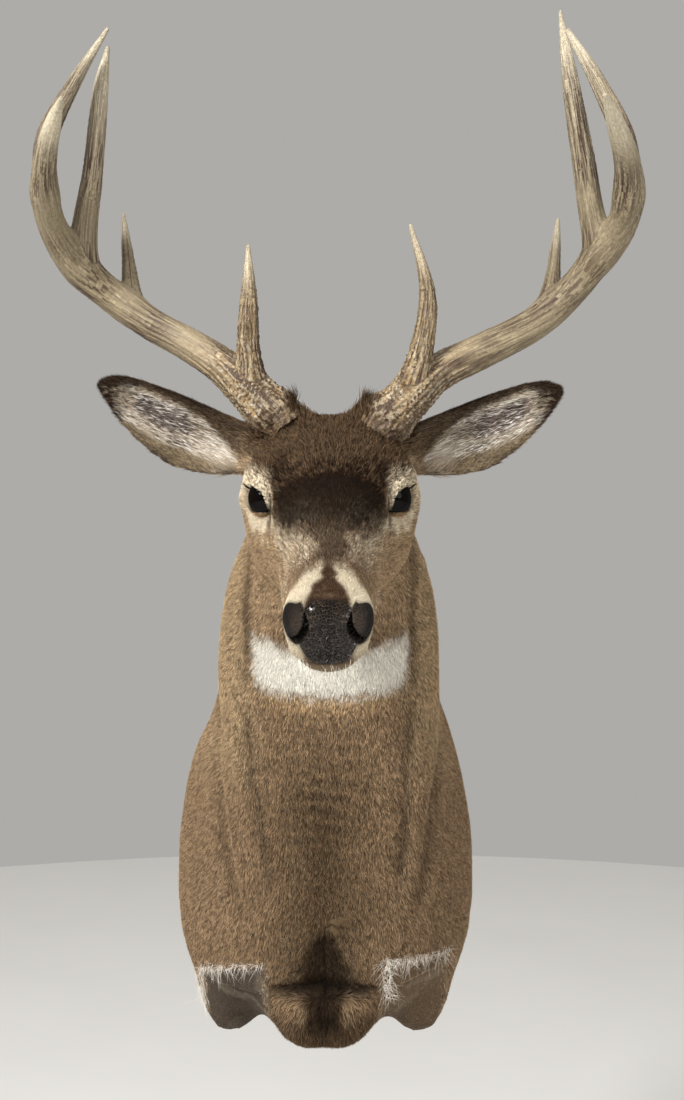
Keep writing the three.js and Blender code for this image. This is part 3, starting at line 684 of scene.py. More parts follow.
def ear_marks(points, norms, colour, side, sign, grainy=0.0):
    """An ear's colours: dark back and rim, near-black tip, pale lilac and white inside."""
    facing = ear_axes(side, sign)[4]
    a, off = ear_place(points, side, sign)
    inside = smooth(-0.1, 0.35, norms @ facing)
    blotch = ripple(points, 13, 41)
    grain = grainy * ripple(points, 2.0, 6)
    inner = np.tile(TONES["ear_white"], (len(points), 1))
    from_lilac = np.hypot((a - 0.56) / 0.2, (off - 0.12) / 0.42)
    inner = tint(inner, "ear_inside", smooth(1.3, 0.6, from_lilac + 0.12 * blotch + 0.2 * grain))
    spot = smooth(1.2, 0.5, np.hypot((a - 0.68) / 0.07, (off - 0.32) / 0.17) + 0.15 * blotch)
    low_spot = smooth(1.2, 0.4, np.hypot((a - 0.43) / 0.13, (off + 0.44) / 0.14) + 0.15 * blotch)
    spot = np.maximum(spot, 0.8 * low_spot)
    low_edge = 0.9 * smooth(-0.52, -0.72, off + 0.05 * blotch + 0.1 * grain)
    inner = tint(inner, "ear_grizzle", low_edge * smooth(0.05, 0.25, a))
    inner = tint(inner, "ear_rim", np.clip(0.75 * spot, 0, 1))
    inner = tint(inner, "ear_rim", 0.6 * smooth(0.1, 0.5, grain) * smooth(-0.45, -0.7, off))
    behind = smooth(-0.05, 0.05, off - ear_fold(a) + 0.05 * grain)
    rim = smooth(0.6, 0.95, off) * smooth(0.15, 0.4, a)
    inner = mix(inner, mix(TONES["ear_back"], TONES["ear_rim"], rim), behind)
    low_rim = smooth(-0.82, -0.97, off + 0.06 * grain) * smooth(0.3, 0.6, a)
    tip_dark = smooth(0.79, 0.92, a + 0.08 * smooth(0.0, 0.6, np.abs(off)) + 0.03 * blotch + 0.05 * grain)
    inner = tint(inner, "ear_rim", np.clip(np.maximum(0.9 * low_rim, tip_dark), 0, 1))
    outer = mix(TONES["ear_back"], TONES["body"], 0.6 * smooth(0.35, 0.0, a))
    outer = tint(outer, "ear_rim", smooth(0.7, 0.98, a))
    ear = mix(outer, inner, inside)
    return mix(colour, ear, ear_share(points) * (points[:, 0] * sign > 0))


# Pockets where the front legs were: (side, inner edge, top, slope of the top edge).
POCKETS = ((-1, 60, -274, -0.38), (1, 60, -271, -0.12))


def armpit_share(points):
    """1 in the thin-haired pockets where the front legs were, 0 elsewhere."""
    px, py, pz = points.T
    fine = ripple(points, 7, 4)
    share = np.zeros(len(points))
    for sign, inner, top, slope in POCKETS:
        aside = (px - CHEST_MIDDLE) * sign
        pit = smooth(inner - 6, inner + 8, aside + 2 * fine) * smooth(138, 124, aside - 3 * fine)
        pit = pit * smooth(4, -5, pz - top - slope * (aside - inner) + 3 * fine) * (py < -40)
        share = np.maximum(share, pit)
    return share


def body_marks(points, norms, blur, fine):
    """The trunk's and neck's colours: dark back and chest, paler sides, the whorl, painted shade in folds and
    dips, a painted highlight on the brisket's rolls, and the armpits.
    """
    _, turn, _ = section_place(points)
    px, py, pz = points.T
    mid = px - CHEST_MIDDLE
    off = np.abs(mid)
    front = smooth(0.1, 0.6, -norms[:, 1])
    colour = np.tile(TONES["body"], (len(points), 1))
    colour = tint(colour, "back", smooth(1.15, 0.35, np.abs(turn) + 0.1 * blur))
    # Darker down the middle of the chest and more so lower down: darker hair there, with painted shade of the
    # lower chest.
    middle = bell(px + 4 - 0.02 * (pz - 100), 0, 50 + 6 * blur)
    colour = tint(colour, "chest", 0.9 * middle * front * smooth(20, -120, pz))
    flank = smooth(0.7, 1.45, np.abs(turn) + 0.12 * blur) * smooth(62, 86, np.abs(px) + 4 * blur)
    colour = tint(colour, "neck_side", 0.8 * flank * smooth(-120, 0, pz) * smooth(210, 150, pz))
    brisket = 0.9 * smooth(-296, -312, pz) * smooth(66, 50, off) * smooth(-60, -110, py)
    colour = tint(colour, "brisket", brisket)
    # Painted shade down the groove between the brisket's two rolls, and a painted highlight on the rolls'
    # upper sides.
    colour = tint(colour, "painted_shade", 0.95 * bell(mid, 0, 24 + 4 * fine) * bell(pz, -328, 26) * (py < -150))
    lit = smooth(14, 22, off) * smooth(62, 46, off) * bell(pz, -318, 13) * (py < -150)
    colour = tint(colour, "body", 0.95 * lit)
    # Lighter and darker bands across the chest in step with its wrinkles: darker where they stand out,
    # lighter where they sink.
    ridge = wrinkles(points, -6)
    wrinkle_zone = bell(px, -4, 42) * bell(pz, -92, 62) * front
    wrinkle_bands = 1 - 0.26 * wrinkle_zone * smooth(-0.1, 0.9, ridge) + 0.22 * wrinkle_zone * smooth(0.1, 0.9, -ridge)
    colour = colour * wrinkle_bands[:, None]
    # Painted shade along the neck's and shoulders' folds.
    ahead = smooth(-205, -235, py)
    for line, half, _ in FOLDS:
        near = fold_nearness(points, line, half * 0.7) * (ahead if len(line[0]) == 2 else 1)
        colour = tint(colour, "painted_shade", 0.42 * near)
    # Below the whorl, a dark inverted V over the dip in the skin: darker hair with painted shade; then
    # painted shade along the crease above the brisket.
    down = (-228 - pz) / 78
    width = 5 + 42 * np.clip(down, 0, 1)
    painted_shade = smooth(1.3, 0.35, np.abs(px + 6) / width + 0.1 * fine) * smooth(-0.05, 0.2, down)
    painted_shade = painted_shade * smooth(1.08, 0.96, down)
    colour = tint(colour, "painted_shade", 0.8 * painted_shade * (py < -120))
    crease = bell(pz + 303 + 0.0007 * mid ** 2, 0, 6) * smooth(62, 40, off) * (py < -120)
    colour = tint(colour, "painted_shade", 0.7 * crease)
    # Pale hair of the armpits and under the brisket.
    pit = armpit_share(points)
    pale = mix(TONES["armpit"], TONES["cheek"], 0.75 * smooth(-5, 5, px))
    pale = tint(pale, "frost", 0.5 * smooth(0.9, 0.3, pit) + 0.25 * (blur > 0.3))
    # Painted shadow low in the right leg's pocket.
    pale = tint(pale, "painted_shade", 0.6 * bell(px, -92, 22) * bell(pz, -366, 12))
    colour = mix(colour, pale, pit)
    belly = smooth(0.2, 0.8, -norms[:, 2]) * smooth(-330, -360, pz)
    return tint(colour, "armpit", 0.6 * belly * smooth(30, 60, off))


def throat_marks(points, colour, blur, fine, grain):
    """The white throat up to the underside of the jaw, and the hair behind it: colours, and its share."""
    t, _, _ = section_place(points)
    px, py, pz = points.T
    wide = np.abs(px)
    low = 28 - 15 * np.sqrt(np.clip(1 - (px / 78) ** 2, 0, 1))
    aside = wide - 33
    under_jaw = np.where(aside > 0, 0.38 * aside, -2.0 * aside)
    bib = smooth(78, 66, wide + 1.5 * fine) * smooth(low - 7, low + 8, pz + 2 * fine + 3 * grain)
    bib = bib * smooth(-318, -338, py)
    bib = bib * smooth(-440, -405, py) * smooth(10, -8, pz - 56 - under_jaw + 2 * fine)
    bib = bib * (1 - smooth(8.9, 9.9, t) * smooth(60, 74, wide))
    column = smooth(66, 90, pz) * smooth(82, 72, wide) * smooth(-315, -335, py) * smooth(8.2, 9.2, t)
    colour = tint(colour, "cheek", column)
    # Painted shade along the fold at each edge of the neck's front column.
    seam = bell(wide + 2 * blur, 76, 3.2) * smooth(40, 85, pz) * smooth(178, 150, pz) * smooth(-230, -270, py)
    colour = tint(colour, "painted_shade", 0.38 * seam)
    colour = tint(colour, "tan", 0.6 * bell(pz, low - 9, 9) * smooth(78, 60, wide) * smooth(-318, -338, py))
    return tint(colour, "throat", bib), bib


def face_marks(points, blur, fine, grain):
    """The head's colours, but for the eyes' rings, the ears and the nose."""
    s, x, h = to_head(points).T
    side = np.abs(x)
    face = np.tile(TONES["cheek"], (len(points), 1))
    face = tint(face, "body", smooth(10, -40, s) * smooth(-30, -70, h))
    face = tint(face, "bridge", smooth(34, 20, side) * smooth(60, 90, s))
    under = smooth(-64, -80, h + 0.14 * (s - 60) + 2 * fine) * smooth(46, 34, side) * smooth(-60, -20, s)
    face = tint(face, "throat", under)
    temple = bell(s, -36, 26) * bell(h, -2, 20) * smooth(52, 66, side)
    face = tint(face, "cream", 0.75 * temple)
    crown = smooth(46, 16, s + 5 * blur) * smooth(2, 20, h + 4 * fine)
    nape = 0.85 * bell(s, -76, 36) * smooth(56, 66, side) * smooth(-9, 4, h + 3 * fine)
    face = tint(face, "crown", np.maximum(crown, nape))
    # Dark patch between the eyes, narrowing down the bridge, with frosted sides.
    wide = np.interp(s, (0, 18, 40, 56, 70, 82, 95, 112, 126), (42, 50, 51, 43, 29, 19, 15, 12, 8))
    brow = smooth(1.6, 1.15, side / wide) * smooth(0, 20, s) * smooth(136, 108, s) * smooth(-16, -2, h)
    face = mix(face, mix(TONES["crown"], TONES["bridge"], smooth(26, 70, s)), 0.9 * brow)
    patch = smooth(1.28, 0.62, (side + 2.5 * fine + 2 * blur) / wide) * smooth(-4, 26, s + 3 * blur)
    patch = patch * smooth(136, 114, s)
    patch = patch * smooth(-4, 8, h)
    patch = np.maximum(patch, 0.9 * bell(side, 42, 11) * bell(s, 8, 13) * smooth(-2, 8, h))
    frost = bell(side - 1.0 * wide, 0, 12 + 3 * blur) * smooth(20, 50, s) * smooth(128, 100, s)
    frost = frost * smooth(-18, 0, h)
    frost = np.maximum(0.8 * frost, bell(side, 30, 17) * bell(s, 77, 25) * smooth(-18, 0, h))
    face = tint(face, "frost", 0.85 * smooth(-0.3, 0.5, frost - 0.5 + 1.3 * grain) * smooth(0, 0.25, frost))
    dark = mix(TONES["patch"], TONES["bridge"], 0.35 * smooth(58, 100, s))
    fleck = 0.95 * smooth(0.1, 0.85, patch + 0.7 * grain * smooth(1.0, 0.7, patch))
    face = mix(face, dark, fleck * smooth(0, 0.1, patch))
    # Pale bands behind the nose, either side of a dark triangle.
    inner = np.interp(s, (120, 133, 143, 158, 166), (2.0, 3.5, 6.0, 12.5, 17.0)) + 1.2 * fine
    outer = np.interp(s, (100, 120, 133, 145, 158, 170), (9, 14, 20, 27, 40, 60))
    band = smooth(inner - 3, inner + 4, side) * smooth(outer + 7, outer - 6, side)
    band = band * smooth(116, 144, s + 4 * fine)
    band = np.clip(band + 0.3 * grain * smooth(0, 0.3, band) * smooth(1, 0.7, band), 0, 1)
    band = np.maximum(band, smooth(134, 150, s) * smooth(inner - 3, inner + 4, side))
    face = tint(face, "cream", band * smooth(-46, -30, h))
    wedge = smooth(inner + 2.5, inner - 2.5, side + 1.2 * grain) * smooth(122, 134, s) * smooth(0, 8, h)
    face = tint(face, "triangle", 0.9 * wedge)
    face = tint(face, "bridge", 0.45 * wedge * smooth(0.15, 0.5, grain))
    face = tint(face, "bridge", 0.7 * bell(side, 0, 9) * bell(s, 163.5, 1.8) * smooth(0, 8, h))
    # Painted shade along the muzzle's flanks, beside the pale bands.
    face = tint(face, "bridge", 0.6 * bell(h, -4, 16) * bell(s, 118, 30) * smooth(16, 26, side) * (1 - band))
    streaks = np.sin((side * 0.75 + s * 0.35) / 3.4 + 2.2 * blur) * bell(h, -22, 22) * bell(s, 95, 42)
    face = tint(face, "cream", 0.32 * np.clip(streaks, 0, 1))
    line = h - mouth_height(s)
    face = tint(face, "chin", smooth(2, -3, line) * smooth(60, 90, s))
    lips = bell(line, 0.5, 1.6) * smooth(70, 84, s)
    return tint(face, "lip", 0.85 * lips)


def eye_marks(points, face, fine, grain):
    """The pale rings, the dark lids and the tear ducts, worked into the face's colours."""
    for _, sign in SIDES:
        u, v, w, span = eye_place(points, sign)
        near = (span < 60) * smooth(-8, 2, w)
        edge = lid_edge(u, v)
        over = smooth(0, 4, v) * smooth(17, 7, edge + 3 * fine) * smooth(30, 10, u)
        below = smooth(1, -3, v) * smooth(26, 12, edge + 4 * fine) * smooth(-24, -8, u)
        rear = smooth(-8, -16, u) * smooth(20, 8, edge)
        ring = np.clip(np.maximum(np.maximum(0.6 * over, 0.9 * below), 0.5 * rear), 0, 1) * near
        ring = ring + 0.25 * grain * smooth(0, 0.2, ring) * smooth(1, 0.6, ring)
        face = tint(face, "cream", np.clip(ring, 0, 1))
        # Painted shade along the upper lid's crease, under the brow.
        crease = 0.5 * near * bell(edge, 10.5 + 2 * fine, 1.4)
        face = tint(face, "bridge", crease * smooth(0, 3, v) * smooth(-16, -6, u))
        face = tint(face, "under_eye", 0.9 * near * bell(edge, 3.5, 4.0) * smooth(1, -4, v))
        duct_at = np.clip((u - 15.0) / 12.0, 0, 1)
        duct = bell(v + 0.5 + 7.5 * duct_at, 0, 3.0) * smooth(11, 16, u) * smooth(36, 24, u) * near
        face = tint(face, "duct", np.clip(0.9 * duct, 0, 1))
        face = tint(face, "lid", np.clip(smooth(2.1, 1.1, edge) * near, 0, 1))
    return face


def nose_marks(points, colour):
    """The bare nose pad, its paler wings, a painted sheen on its upper lobes and painted shade in its
    nostrils, laid over the colours.
    """
    place = to_head(points)
    s, x, h = place.T
    side = np.abs(x)
    wing = np.hypot((side - 23.5) / 9.0, (h + 3.0) / 15.5)
    bare = mix(TONES["nose"], TONES["nose_pink"], 0.8 * smooth(1.1, 0.15, wing))
    # Painted sheen on the pad's upper lobes.
    bare = tint(bare, "nose_sheen", 0.5 * bell(side, 12, 9) * bell(h, 3, 8))
    # Painted shade inside the nostrils.
    near, _ = nostril_line(x, h)
    bare = mix(bare, TONES["nose"] * 0.3, near * smooth(154, 160, s))
    return mix(colour, bare, nose_mask(place))


def markings(points, norms, grainy=0.0):
    """The coat's colour at each point, with a tuft-sized grain where tufts ask for it."""
    t, _, _ = section_place(points)
    blur = ripple(points, 22, 3)
    fine = ripple(points, 7, 4)
    grain = grainy * ripple(points, 1.7, 6)
    colour = body_marks(points, norms, blur, fine)
    colour, bib = throat_marks(points, colour, blur, fine, grain)
    head = np.clip(head_share(points) * smooth(10.2, 11.0, t), 0, 1) * (1 - bib)
    face = eye_marks(points, face_marks(points, blur, fine, grain), fine, grain)
    colour = mix(colour, face, head)
    for side, sign in SIDES:
        colour = ear_marks(points, norms, colour, side, sign, grainy)
    return nose_marks(points, colour)


# ---------------------------------------------------------------- antlers

# Each limb's centre line as (x, y, z, radius), for the buck's right (-X) and left (+X).
LIMBS = {
    "right": (
        ((-42, -388, 262, 20), (-53, -388, 275, 22), (-72, -386, 293, 18.5), (-97, -380, 317, 16.4),
         (-130, -370, 339, 15.2), (-167, -362, 360, 14.8), (-206, -362, 388, 15), (-234, -378, 413, 15),
         (-247, -408, 439, 13), (-247, -440, 462, 11.6), (-239, -470, 483, 9.8), (-226, -500, 501, 7),
         (-214, -525, 513, 2)),
        ((-70, -390, 298, 12), (-73, -402, 334, 9.6), (-72, -408, 373, 7.8), (-73, -404, 424, 1.8)),
        ((-183, -356, 374, 10), (-189, -342, 413, 6.9), (-193, -338, 443, 4.7), (-195, -340, 468, 1.5)),
        ((-226, -372, 408, 12), (-222, -384, 448, 11.4), (-213, -396, 492, 9.2), (-205, -403, 560, 7.2),
         (-198, -404, 601, 1.6)),
        ((-249, -430, 466, 10.5), (-245, -438, 508, 9.6), (-224, -430, 557, 6.2), (-195, -418, 612, 1.6)),
    ),
    "left": (
        ((42, -388, 257, 20), (53, -388, 270, 22.4), (73, -386, 288, 19), (99, -380, 312, 16.6),
         (138, -372, 332, 16.2), (185, -362, 357, 15.4), (217, -362, 383, 14.4), (241, -376, 411, 14.4),
         (260, -404, 438, 14), (261, -436, 463, 12.4), (251, -466, 485, 10.6), (235, -498, 504, 7.4),
         (222, -522, 517, 2)),
        ((72, -390, 296, 12.5), (83, -402, 334, 9.8), (87, -408, 380, 7.4), (72, -402, 442, 1.8)),
        ((203, -354, 376, 10), (210, -342, 413, 6.6), (213, -338, 441, 4.7), (215, -340, 464, 1.5)),
        ((245, -380, 421, 12), (236, -390, 458, 11.4), (228, -398, 500, 10.4), (215, -404, 570, 7.6),
         (206, -402, 634, 1.6)),
        ((262, -428, 462, 11), (256, -438, 506, 10), (234, -431, 560, 7), (209, -420, 609, 2.6)),
    ),
}
ANTLER_VOXEL = 1.5
ANTLER_TONES = {
    "groove": "#38240f", "beam": "#80735a", "pale": "#aa9e86", "gold": "#8d7046", "dark": "#3f2b19",
    "ivory": "#c6bba2",
}
ANTLER_TONES = {name: linear(value) for name, value in ANTLER_TONES.items()}


def curve_through(controls, steps):
    """Points, with their radii, along a smooth curve through control points."""
    rows = np.array(controls, float)
    padded = np.vstack((2 * rows[0] - rows[1], rows, 2 * rows[-1] - rows[-2]))
    out = []
    for i in range(len(rows) - 1):
        p0, p1, p2, p3 = padded[i:i + 4]
        for f in np.arange(steps) / steps:
            bend = (2 * p0 - 5 * p1 + 4 * p2 - p3) * f * f + (3 * (p1 - p2) + p3 - p0) * f ** 3
            out.append(p1 + 0.5 * ((p2 - p0) * f + bend))
    out.append(rows[-1])
    return np.array(out)


def along_limb(points, limb):
    """For points near a limb: gap from its surface, its axis, arc and direction there, and whole length."""
    a, b = limb[:-1], limb[1:]
    run = (b - a)[:, :3]
    length2 = (run ** 2).sum(1)
    best = np.full(len(points), 1e9)
    index = np.zeros(len(points), int)
    share = np.zeros(len(points))
    for i in range(len(a)):
        f = np.clip((points - a[i, :3]) @ run[i] / length2[i], 0, 1)
        radius = a[i, 3] + (b[i, 3] - a[i, 3]) * f
        gap = np.linalg.norm(points - a[i, :3] - f[:, None] * run[i], axis=1) - radius
        closer = gap < best
        best = np.where(closer, gap, best)
        index = np.where(closer, i, index)
        share = np.where(closer, f, share)
    arc = np.concatenate(([0], np.cumsum(np.sqrt(length2))))
    here = a[index] + (b - a)[index] * share[:, None]
    reach = arc[index] + share * (arc[index + 1] - arc[index])
    return best, here[:, :3], reach, unit(run[index]), arc[-1]


def cell_code(x, y, z):
    """One whole number for each cell of a grid, so that chance hangs on the cell alone."""
    return (x * 73856093) ^ (y * 19349663) ^ (z * 83492791)


def cell_lumps(flat, size, seed):
    """Seeded round lumps on a flat map: 1 at a lump's middle, 0 at its edge."""
    grid = flat / size
    cell = np.floor(grid).astype(np.int64)
    best = np.full(len(flat), 9.0)
    for dx in (-1, 0, 1):
        for dy in (-1, 0, 1):
            c = cell + (dx, dy)
            code = cell_code(c[:, 0], c[:, 1], seed)
            jitter = np.stack(((code * 7919) % 1013, (code * 104729) % 1009), axis=1) / 1011.0
            best = np.minimum(best, np.linalg.norm(grid - c - jitter, axis=1))
    return np.clip(1 - best * 1.25, 0, 1)


def noises(points):
    """Smooth noise at each point, about -1 to 1."""
    return np.array([noise.noise(Vector(q)) for q in points])


def make_antler(side):
    """One antler: limbs flowing into each other at the forks, furrowed along, pearled at the base."""
    left = side == "left"
    names = [f"antler_{side}_{part}" for part in ANTLER_PARTS]
    mesh = remeshed(cad_solids(names, 0.5), ANTLER_VOXEL)
    drop_crumbs(mesh)
    points = relaxed(places(mesh), edges(mesh), 0.5, 6)
    limbs = [curve_through(controls, 6) for controls in LIMBS[side]]
    for _ in range(4):
        found = [along_limb(points, limb) for limb in limbs]
        gaps = np.array([f[0] for f in found])
        melt = 5.0
        weight = np.exp(-(gaps - gaps.min(0)) / melt)
        level = gaps.min(0) - melt * np.log(weight.sum(0)) * 0.8
        weight /= weight.sum(0)
        way = sum(w[:, None] * unit(points - f[1]) for w, f in zip(weight, found))
        points = points - unit(way) * np.clip(level, -3, 3)[:, None] * 0.8
        points = relaxed(points, edges(mesh), 0.3, 1)
    found = [along_limb(points, limb) for limb in limbs]
    nearest = np.array([f[0] for f in found]).argmin(0)
    rows = np.arange(len(points))
    centre = np.array([f[1] for f in found])[nearest, rows]
    arc = np.array([f[2] for f in found])[nearest, rows]
    way = np.array([f[3] for f in found])[nearest, rows]
    whole = np.array([f[4] for f in found])[nearest]
    put_places(mesh, points)
    out = normals(mesh)
    spoke = unit(points - centre)
    base_reach = found[0][2]
    base = smooth(150, 30, base_reach) * (nearest == 0) + (nearest == 1) * smooth(120, 20, arc) * 0.9
    tip = smooth(0.55, 0.95, arc / whole) * np.where(nearest == 0, smooth(0.8, 1.0, arc / whole), 1)
    stretched = spoke * 13 + way * (arc * 0.055)[:, None] + (nearest * 37.0)[:, None]
    furrow = 0.42 - np.abs(noises(stretched / 3.4)) * 1.3 - np.abs(noises(stretched / 1.5)) * 0.7
    grain = noises(points / np.array((2.6, 2.6, 4.6)))
    reference = np.array((0.31, 0.9, 0.3))
    ax = unit(np.cross(way, reference))
    ay = np.cross(way, ax)
    angle = np.arctan2(dot(spoke, ay), dot(spoke, ax))
    bent = 3.2 * np.stack((ripple(points, 10, 61), ripple(points, 10, 62)), axis=1)
    bent = bent + 1.0 * np.stack((ripple(points, 4, 63), ripple(points, 4, 64)), axis=1)
    flat = np.stack((angle * 15, arc * 0.3), axis=1) + bent
    pearls = cell_lumps(flat, 4.4, 5 + left)
    small = cell_lumps(flat * (1, 1.4), 2.6, 9 + left)
    burr_at = np.linalg.norm(np.diff(np.array(LIMBS[side][0])[:2, :3], axis=0))
    burr = bell(base_reach, burr_at, 5.0) * (nearest == 0)
    height = furrow * (0.9 - 0.7 * tip) * (1 + 1.9 * base)
    height = height + base * (1.0 * pearls + 0.3 * small + 0.8 * grain)
    height = height + burr * (2.0 * pearls + 0.8)
    height = height + 0.3 * small * bell(arc / whole, 0.35, 0.3) * (1 - base)
    points = points + out * (height - 0.3)[:, None]
    put_places(mesh, points)
    bleached = np.clip(tip + 0.35 * smooth(60, 200, points[:, 2] - 330), 0, 1)
    tone = mix(ANTLER_TONES["beam"], ANTLER_TONES["pale"], bleached)
    patchy = 0.6 + 0.4 * ripple(points, 38, 17 + left)
    low = smooth(0.12, -0.3, furrow) * (1 - 0.85 * tip) * np.clip(patchy + 0.5 * base, 0.15, 1)
    # Painted highlight over the beam's last 70 mm, setting its tip off from the tine behind it.
    tip_highlight = 0.5 * (nearest == 0) * smooth(70, 20, whole - arc)
    for name, share in (
        ("gold", 0.7 * smooth(150, 20, base_reach) * np.where(nearest > 1, 0, 1)),
        ("groove", (0.35 + 0.55 * base) * low),
        ("pale", 0.7 * base * smooth(0.3, 0.8, pearls + 0.3 * grain)),
        ("dark", 0.55 * smooth(26, 8, base_reach) * (nearest == 0)),
        # Painted shade on the rear tine's lower part, behind the beam's tip.
        ("groove", 0.6 * (nearest == len(limbs) - 1) * smooth(95, 40, arc)),
        ("ivory", 0.8 * tip * smooth(0.1, -0.2, furrow) + tip_highlight),
    ):
        tone = mix(tone, ANTLER_TONES[name], share)
    paint(mesh, "tone", tone)
    flow = mesh.attributes.new("flow", "FLOAT_VECTOR", "POINT")
    flow.data.foreach_set("vector", stretched.astype(np.float32).ravel())
    weigh(mesh, "crack", np.clip(patchy + 0.6 * base + 0.4 * (nearest > 0), 0.2, 1) * (1 - 0.7 * tip))
    mesh.shade_smooth()
    return mesh


# ---------------------------------------------------------------- coat


def turned(way, norms, angle):
    """Ways turned about the normals by an angle."""
    side = np.cross(norms, way)
    return way * np.cos(angle)[:, None] + side * np.sin(angle)[:, None]


def laid(way, norms):
    """Ways laid flat on the skin."""
    return unit(way - norms * dot(way, norms)[:, None])


WALL_GAP = -0.2  # no hair reaches behind the wall's plane
HAIR_PEAK = (30.0, -390.0, 268.0)  # where the crown's hair stands up against each pedicle
PATCH = 0.003  # the size of a tuft's own patch on the map


def nearness(points, place, sign, reach):
    """1 at a place given on the +X side, or at its mirror, falling away over a reach."""
    return bell(np.linalg.norm(points - np.array(place) * (sign, 1, 1), axis=1), 0, reach)


def lie_of_coat(points, norms):
    """The way the hair points: from the nose back over the face, and down and back on the neck."""
    t, _, ahead = section_place(points)
    _, x, h = to_head(points).T
    head = head_share(points)
    down = np.array((0.0, 0.0, -1.0))
    way = -ahead + down * (0.5 + 0.5 * smooth(9, 5, t))[:, None]
    part = bell(points[:, 2], -270, 40) * smooth(45, 20, np.abs(points[:, 0] + 7)) * (points[:, 1] < -120)
    way = way + np.array((1.0, 0, 0)) * (part * np.sign(points[:, 0] + 7) * 0.8)[:, None]
    back = -HEAD_FORWARD + np.array((1.0, 0, 0)) * (0.35 * np.sign(x) * smooth(4, 30, np.abs(x)))[:, None]
    back = back - HEAD_UP * (0.55 * smooth(6, -24, h))[:, None]
    way = mix(way, back, head * smooth(9.6, 10.8, t))
    for side, sign in SIDES:
        axis = ear_axes(side, sign)[2]
        ear = ear_share(points) * (points[:, 0] * sign > 0)
        way = mix(way, axis + np.zeros_like(way), ear)
        to_horn = unit(np.array(PEDICLE_HEAD) * (sign, 1, 1) - points)
        way = mix(way, to_horn, 0.9 * nearness(points, PEDICLE_HEAD, sign, 24))
        way = mix(way, np.array((0.25 * sign, -0.1, 1.0)), 0.95 * nearness(points, HAIR_PEAK, sign, 13))
    return laid(way, norms)


def coat_plan(points, norms):
    """Hair length, width, lift and how many tufts grow on each square millimetre."""
    t, _, _ = section_place(points)
    place = to_head(points)
    s, _, h = place.T
    head = head_share(points)
    ear = ear_share(points)
    length = 6.2 - 0.8 * smooth(5, 9, t)
    width = np.full(len(points), 0.58)
    lift = np.full(len(points), 0.32)
    many = np.full(len(points), 1.65)
    low = smooth(-285, -320, points[:, 2])
    length = length + 1.5 * low
    many = many - 0.25 * low
    face = head * (1 - ear)
    muzzle = smooth(70, 130, s)
    crown = smooth(26, 4, s) * smooth(0, 24, h) * face
    for share, wanted in (
        (face, (5.4 - 2.2 * muzzle, 0.42 - 0.08 * muzzle, 0.22, 3.0 + 0.6 * muzzle)),
        (crown, (7.5, 0.55, 0.42, 1.6)),
        (ear, (5.5, 0.42, 0.26, 2.6)),
    ):
        now = (length, width, lift, many)
        length, width, lift, many = (value + (to - value) * share for value, to in zip(now, wanted))
    pit = armpit_share(points)
    length = length + (3.5 - length) * pit
    lift = lift + (0.08 - lift) * pit
    many = many * (1 - 0.45 * pit)
    for _, sign in SIDES:
        u, v, w, span = eye_place(points, sign)
        near = (span < 44) * (w > -4)
        edge = lid_edge(u, v)
        length = np.where(near, np.minimum(length, 1.6 + 0.26 * np.maximum(edge, 0)), length)
        many = np.where(near & (edge < 1.7), 0, many)
    many = many * (1 - nose_mask(place))
    line = np.abs(h - mouth_height(s))
    length = np.where((s > 66) & (line < 6), np.minimum(length, 1.4 + 0.35 * line), length)
    many = np.where((s > 74) & (line < 1.2), 0, many)
    for _, sign in SIDES:
        horn = nearness(points, PEDICLE_HEAD, sign, 24)
        length = length + 6.0 * horn * (1 - ear)
        lift = lift + 0.5 * horn * (1 - ear)
        peak = nearness(points, HAIR_PEAK, sign, 13) * (1 - ear)
        length = length + 6.0 * peak
        lift = lift + 1.0 * peak
        many = many + 1.8 * peak
    outward = np.stack((points[:, 0] + 7, points[:, 2] + 130), axis=1)
    pocket = (points[:, 1] > -21) & ((unit(outward) * norms[:, (0, 2)]).sum(1) < 0.25)
    many = np.where(pocket | (points[:, 1] > -2.2), 0, many)
    length = length * (0.55 + 0.45 * smooth(-3, -28, points[:, 1]))
    return length, width, lift, many


def blades(root, norm, way, length, width, lift, tones, segments, rng, patch):
    """Tapering flat hairs: points, faces, colours and map places, all as arrays."""
    count = len(root)
    roll = rng.uniform(-0.75, 0.75, count)
    side = np.cross(norm, way)
    side = side * np.cos(roll)[:, None] + norm * np.sin(roll)[:, None]
    rows, tone_rows, map_rows = [], [], []
    u, v = patch
    for k in range(segments + 1):
        a = k / segments
        rise = length * lift * (1.5 * a - 0.8 * a * a) - 0.45 * (k == 0)
        middle = root + way * (length * a)[:, None] + norm * rise[:, None]
        if k == segments:
            rows.append(middle[:, None])
            tone_rows.append(tones[:, None, k])
            map_rows.append(np.stack((u, v + PATCH), axis=1)[:, None])
        else:
            half = side * (width * (0.5 - 0.1 * a))[:, None]
            rows.append(np.stack((middle - half, middle + half), axis=1))
            tone_rows.append(np.repeat(tones[:, None, k], 2, axis=1))
            step = v + PATCH * a
            edges_at = [np.stack((u + aside, step), axis=1) for aside in (-PATCH / 2, PATCH / 2)]
            map_rows.append(np.stack(edges_at, axis=1))
    points = np.concatenate(rows, axis=1)
    corners = points.shape[1]
    faces = []
    for k in range(segments - 1):
        low, high = 2 * k, 2 * k + 2
        faces += [(low + 1, low, high), (low + 1, high, high + 1)]
    faces.append((corners - 2, corners - 3, corners - 1))
    faces = np.arange(count)[:, None, None] * corners + np.array(faces)[None]
    return (
        points.reshape(-1, 3), faces.reshape(-1, 3), np.concatenate(tone_rows, axis=1).reshape(-1, 3),
        np.concatenate(map_rows, axis=1).reshape(-1, 2),
    )


def spread(values, low=0.004, high=0.996):
    """Values moved and scaled to fill a range of the map."""
    bottom, top = values.min(), values.max()
    return low + (high - low) * (values - bottom) / max(top - bottom, 1e-6)


